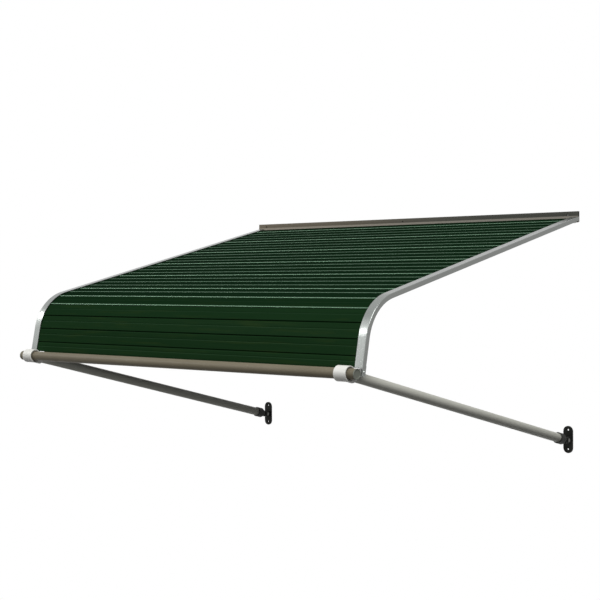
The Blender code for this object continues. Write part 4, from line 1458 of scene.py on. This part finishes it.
    def hex_mesh(self, name: str, x: float, side: int, near: float, far: float,
                 shank: float) -> bpy.types.Mesh:
        """A hexagon head or nut on the pivot, with its corners turned off, and a round shank.

        The radius is the smaller of the hexagon's and a cone's that grows with the distance
        from each flat.

        Args:
            name: The mesh's name.
            x: The arm's x.
            side: Which way along X is outwards.
            near: The distance of the head's inner flat from the pivot, outwards.
            far: The distance of its outer flat.
            shank: How far a shank reaches past the pivot on the other side, or 0 for a nut.

        Returns:
            The mesh.
        """
        axis = Axis((x, self.pivot_y, self.pivot_z), (float(side), 0.0, 0.0))
        angle = turns(72)
        distance = np.concatenate([np.linspace(near, near + self.bevel, 4),
                                   np.linspace(far - self.bevel, far, 4)])
        from_flat = np.minimum(distance - near, far - distance)
        cone = self.head * math.cos(math.pi / 6) - self.bevel_inset + self.bevel_slope * from_flat
        radius = np.minimum(self.hexagon(self.head, angle)[None, :], cone[:, None])
        head = skin(name, axis.place(distance[:, None], radius, angle), Caps.FACE)
        if shank <= 0:
            return head
        root = near + self.shank_overlap
        return merged(name, head, shaft(name + "_shank", axis, -shank, root, self.pin,
                                        ease=self.pin_ease, segments=SMALL))

    def set_screw_mesh(self, name: str, distance: float, start: float,
                       end: float) -> bpy.types.Mesh:
        """A set screw at x = 0 with a rounded rim and a hexagon socket.

        The ring's radius on the socket's wall is the hexagon's, and elsewhere the round one's.

        Args:
            name: The mesh's name.
            distance: The distance from the bar along the arm.
            start: The distance of its inner end from the arm's or bar's axis.
            end: The distance of its outer end.

        Returns:
            The mesh.
        """
        axis = self.set_screw_axis(distance)
        angle, wide = turns(48), self.set_screw
        hexagon = self.hexagon(wide * self.socket_share, angle)
        outside = rounded(np.array([(start, wide * self.screw_core), (start, wide), (end, wide),
                                    (end, wide * self.screw_rim)]), self.screw_ease)
        floor = end - self.socket_depth
        depth = np.concatenate([outside[:, 0], [end, end - self.socket_bevel, floor, floor]])
        plain = np.broadcast_to(outside[:, 1:], (len(outside), len(angle)))
        radius = np.concatenate([plain, hexagon * np.array(self.socket_rings)[:, None]])
        return skin(name, axis.place(depth[:, None], radius, angle), Caps.FACE)

    def build(self, shop: Workshop) -> None:
        """Makes both arms' pieces. What both sides share is shaped once and moved to each."""
        plastic = TEE_PLASTIC.material("tee_plastic")
        casting = CastEnamel().material("cast_enamel")
        # the arms' lighter colours are painted reflection
        paint = LIGHT_REFLECTION_ARM_PAINT.material("arm_paint", follow=True)
        steel = PlatedSteel().material("plated_steel")
        black_steel = BLACK_STEEL.material("black_steel")
        tee, cup, plate = self.tee_mesh(), self.cup_mesh(), self.plate_mesh()
        tee_screw = self.set_screw_mesh("tee_screw", 0.0, self.bore, self.tee_radius)
        screw_at = self.cup_floor_at - self.cup_socket / 2
        cup_screw = self.set_screw_mesh("cup_screw", screw_at, self.bore, self.bore + self.cup_wall)
        outside = self.tongue / 2 + self.bar.gap + self.ear + self.bar.gap
        bolt_end = outside + self.nut_height + self.bolt_end
        for side_name, side in SIDES:
            x = side * self.spacing
            for source, material, slot, kind in (
                (tee, plastic, "tee", "slip_tee_"),
                (tee_screw, steel, "screw", "tee_set_screw_"),
                (cup, casting, "casting", "arm_cup_"),
                (cup_screw, steel, "screw", "cup_set_screw_"),
                (plate, casting, "casting", "wall_bracket_"),
            ):
                node = kind + side_name
                mesh = moved(source, node + "_shape", (x, 0.0, 0.0))
                shop.piece(mesh, material, slot, node)
            arm = self.arm_mesh("arm_tube_" + side_name, x)
            shop.piece(arm, paint, "tube", "stay_arm_" + side_name)
            for kind, near, far, shank in (
                ("bolt_", outside, outside + self.head_height, bolt_end),
                ("nut_", -outside - self.nut_height, -outside, 0.0),
            ):
                mesh = self.hex_mesh(kind + side_name, x, side, near, far, shank)
                shop.piece(mesh, black_steel, "screw", "pivot_" + kind + side_name)
            for kind in ("rail_screw_", "bar_screw_"):
                shop.repaint(kind + side_name, steel)


# Studio


@dataclass(frozen=True)
class Lamp:
    """One soft lamp."""

    name: str
    place: tuple[float, float, float]
    target: tuple[float, float, float]
    wide: float
    tall: float
    power: float

    def build(self) -> None:
        """Hangs the lamp and turns it to its target."""
        light = bpy.data.lights.new(self.name, "AREA")
        light.shape = "RECTANGLE"
        light.size = self.wide
        light.size_y = self.tall
        light.energy = self.power
        lamp = linked(bpy.data.objects.new(self.name, light))
        turn = (Vector(self.target) - Vector(self.place)).to_track_quat("-Z", "Y")
        lamp.matrix_world = Matrix.Translation(self.place) @ turn.to_matrix().to_4x4()


LAMPS = (
    Lamp("key_lamp", (1.9, -2.3, 2.9), (0.0, -0.5, -0.2), 2.4, 2.4, 178.0),
    Lamp("left_lamp", (-2.7, -3.1, 1.5), (0.0, -0.93, -0.3), 3.0, 2.6, 22.0),
    Lamp("low_lamp", (0.9, -3.2, -0.9), (-0.5, -0.5, -0.5), 1.2, 1.2, 6.5),
    Lamp("strip_lamp", (-2.85, -3.05, 1.47), (0.0, -0.93, -0.3), 2.4, 0.30, 58.0),
)


@dataclass
class Studio:
    """A white room with a pale floor, soft lamps and the camera at the photograph's angle."""

    camera_place: tuple[float, float, float] = (2.4848, -3.2623, -0.1723)
    yaw: float = math.radians(41.80)
    pitch: float = math.radians(0.87)
    roll: float = math.radians(-0.25)
    lens: float = 79.52
    ambient: float = 0.085
    floor_z: float = -2.3
    floor_radius: float = 3.0
    floor_middle: Pair = (-0.4, 0.0)
    floor_steps: int = 64
    floor_fade: Pair = (0.45, 0.98)

    def camera(self) -> None:
        """Sets the camera from its place, yaw, pitch and roll."""
        ahead = math.cos(self.pitch)
        forward = Vector((-math.sin(self.yaw) * ahead, math.cos(self.yaw) * ahead,
                          -math.sin(self.pitch)))
        level = Vector((math.cos(self.yaw), math.sin(self.yaw), 0.0))
        right = level * math.cos(self.roll) + level.cross(forward) * math.sin(self.roll)
        up = right.cross(forward)
        data = bpy.data.cameras.new("camera")
        data.lens = self.lens
        data.sensor_width = 36.0
        data.clip_end = 100.0
        camera = linked(bpy.data.objects.new("camera", data))
        turn = Matrix((right, up, -forward)).transposed().to_4x4()
        camera.matrix_world = Matrix.Translation(self.camera_place) @ turn
        bpy.context.scene.camera = camera

    def world(self) -> None:
        """White where the camera, gloss and clear materials see it, and a dim grey elsewhere."""
        world = bpy.data.worlds.new("room")
        world.use_nodes = True
        bpy.context.scene.world = world
        tree = world.node_tree
        tree.nodes.clear()
        path = tree.nodes.new("ShaderNodeLightPath")
        seen = path.outputs["Is Camera Ray"]
        for kind in ("Is Glossy Ray", "Is Transmission Ray"):
            either = tree.nodes.new("ShaderNodeMath")
            either.operation = "MAXIMUM"
            tree.links.new(seen, either.inputs[0])
            tree.links.new(path.outputs[kind], either.inputs[1])
            seen = either.outputs[0]
        mix = tree.nodes.new("ShaderNodeMixShader")
        tree.links.new(seen, mix.inputs[0])
        for place, level in ((1, self.ambient), (2, 1.0)):
            background = tree.nodes.new("ShaderNodeBackground")
            background.inputs["Color"].default_value = (1.0, 1.0, 1.0, 1.0)
            background.inputs["Strength"].default_value = level
            tree.links.new(background.outputs[0], mix.inputs[place])
        out = tree.nodes.new("ShaderNodeOutputWorld")
        tree.links.new(mix.outputs[0], out.inputs["Surface"])

    def floor(self) -> None:
        """A round pale floor that fades into the white at its rim and keeps the object's shadow."""
        middle, count = (*self.floor_middle, self.floor_z), self.floor_steps
        radius = np.array([[0.5], [1.0]]) * self.floor_radius
        rings = Axis(middle, (0.0, 0.0, 1.0)).place(np.zeros((2, 1)), radius, turns(count))
        mesh = bpy.data.meshes.new("floor")
        i = np.arange(count)
        beside = (i + 1) % count
        quads = np.stack([i, beside, beside + count, i + count], axis=-1).tolist()
        mesh.from_pydata(rings.reshape(-1, 3).tolist(), [], quads + [list(range(count))])
        shader = Shader("floor_paper")
        place = shader.place()
        centred = shader.node("ShaderNodeVectorMath", {"operation": "DISTANCE"},
                              {0: place, 1: middle}, "Value")
        fade = centred.within(*(self.floor_radius * share for share in self.floor_fade))
        grain = shader.noise(place, 30.0, 3.0)
        colour = shader.blend(grain, (0.86, 0.86, 0.86), (0.89, 0.89, 0.89))
        inputs = {"Base Color": colour, "Roughness": 1.0, "Specular IOR Level": 0.0,
                  "Emission Color": (1.0, 1.0, 1.0), "Emission Strength": 0.35}
        paper = shader.node("ShaderNodeBsdfPrincipled", {}, inputs, "BSDF")
        white = shader.node("ShaderNodeBsdfTransparent", {}, {}, "BSDF")
        shader.node_output(shader.node("ShaderNodeMixShader", {}, {0: fade, 1: paper, 2: white}))
        mesh.materials.append(shader.material)
        floor = linked(bpy.data.objects.new("floor", mesh))
        floor.visible_diffuse = False
        floor.visible_glossy = False

    def build(self) -> None:
        """Sets the whole studio."""
        self.camera()
        self.world()
        self.floor()
        for lamp in LAMPS:
            lamp.build()
        bpy.context.scene.view_settings.view_transform = "Standard"


def main() -> None:
    """Builds the studio and every sub-assembly."""
    logging.basicConfig(level=logging.INFO, format="%(message)s")
    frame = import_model()
    shop = Workshop(frame)
    Studio().build()
    profile = CanopyProfile()
    rails = SideRails(profile)
    bar = FrontBar()
    for assembly in (Slats(profile), rails, Header(profile, rails), bar, StayArms(bar)):
        assembly.build(shop)
    LOG.info("%d pieces made", len(shop.made))


if __name__ == "__main__":
    main()
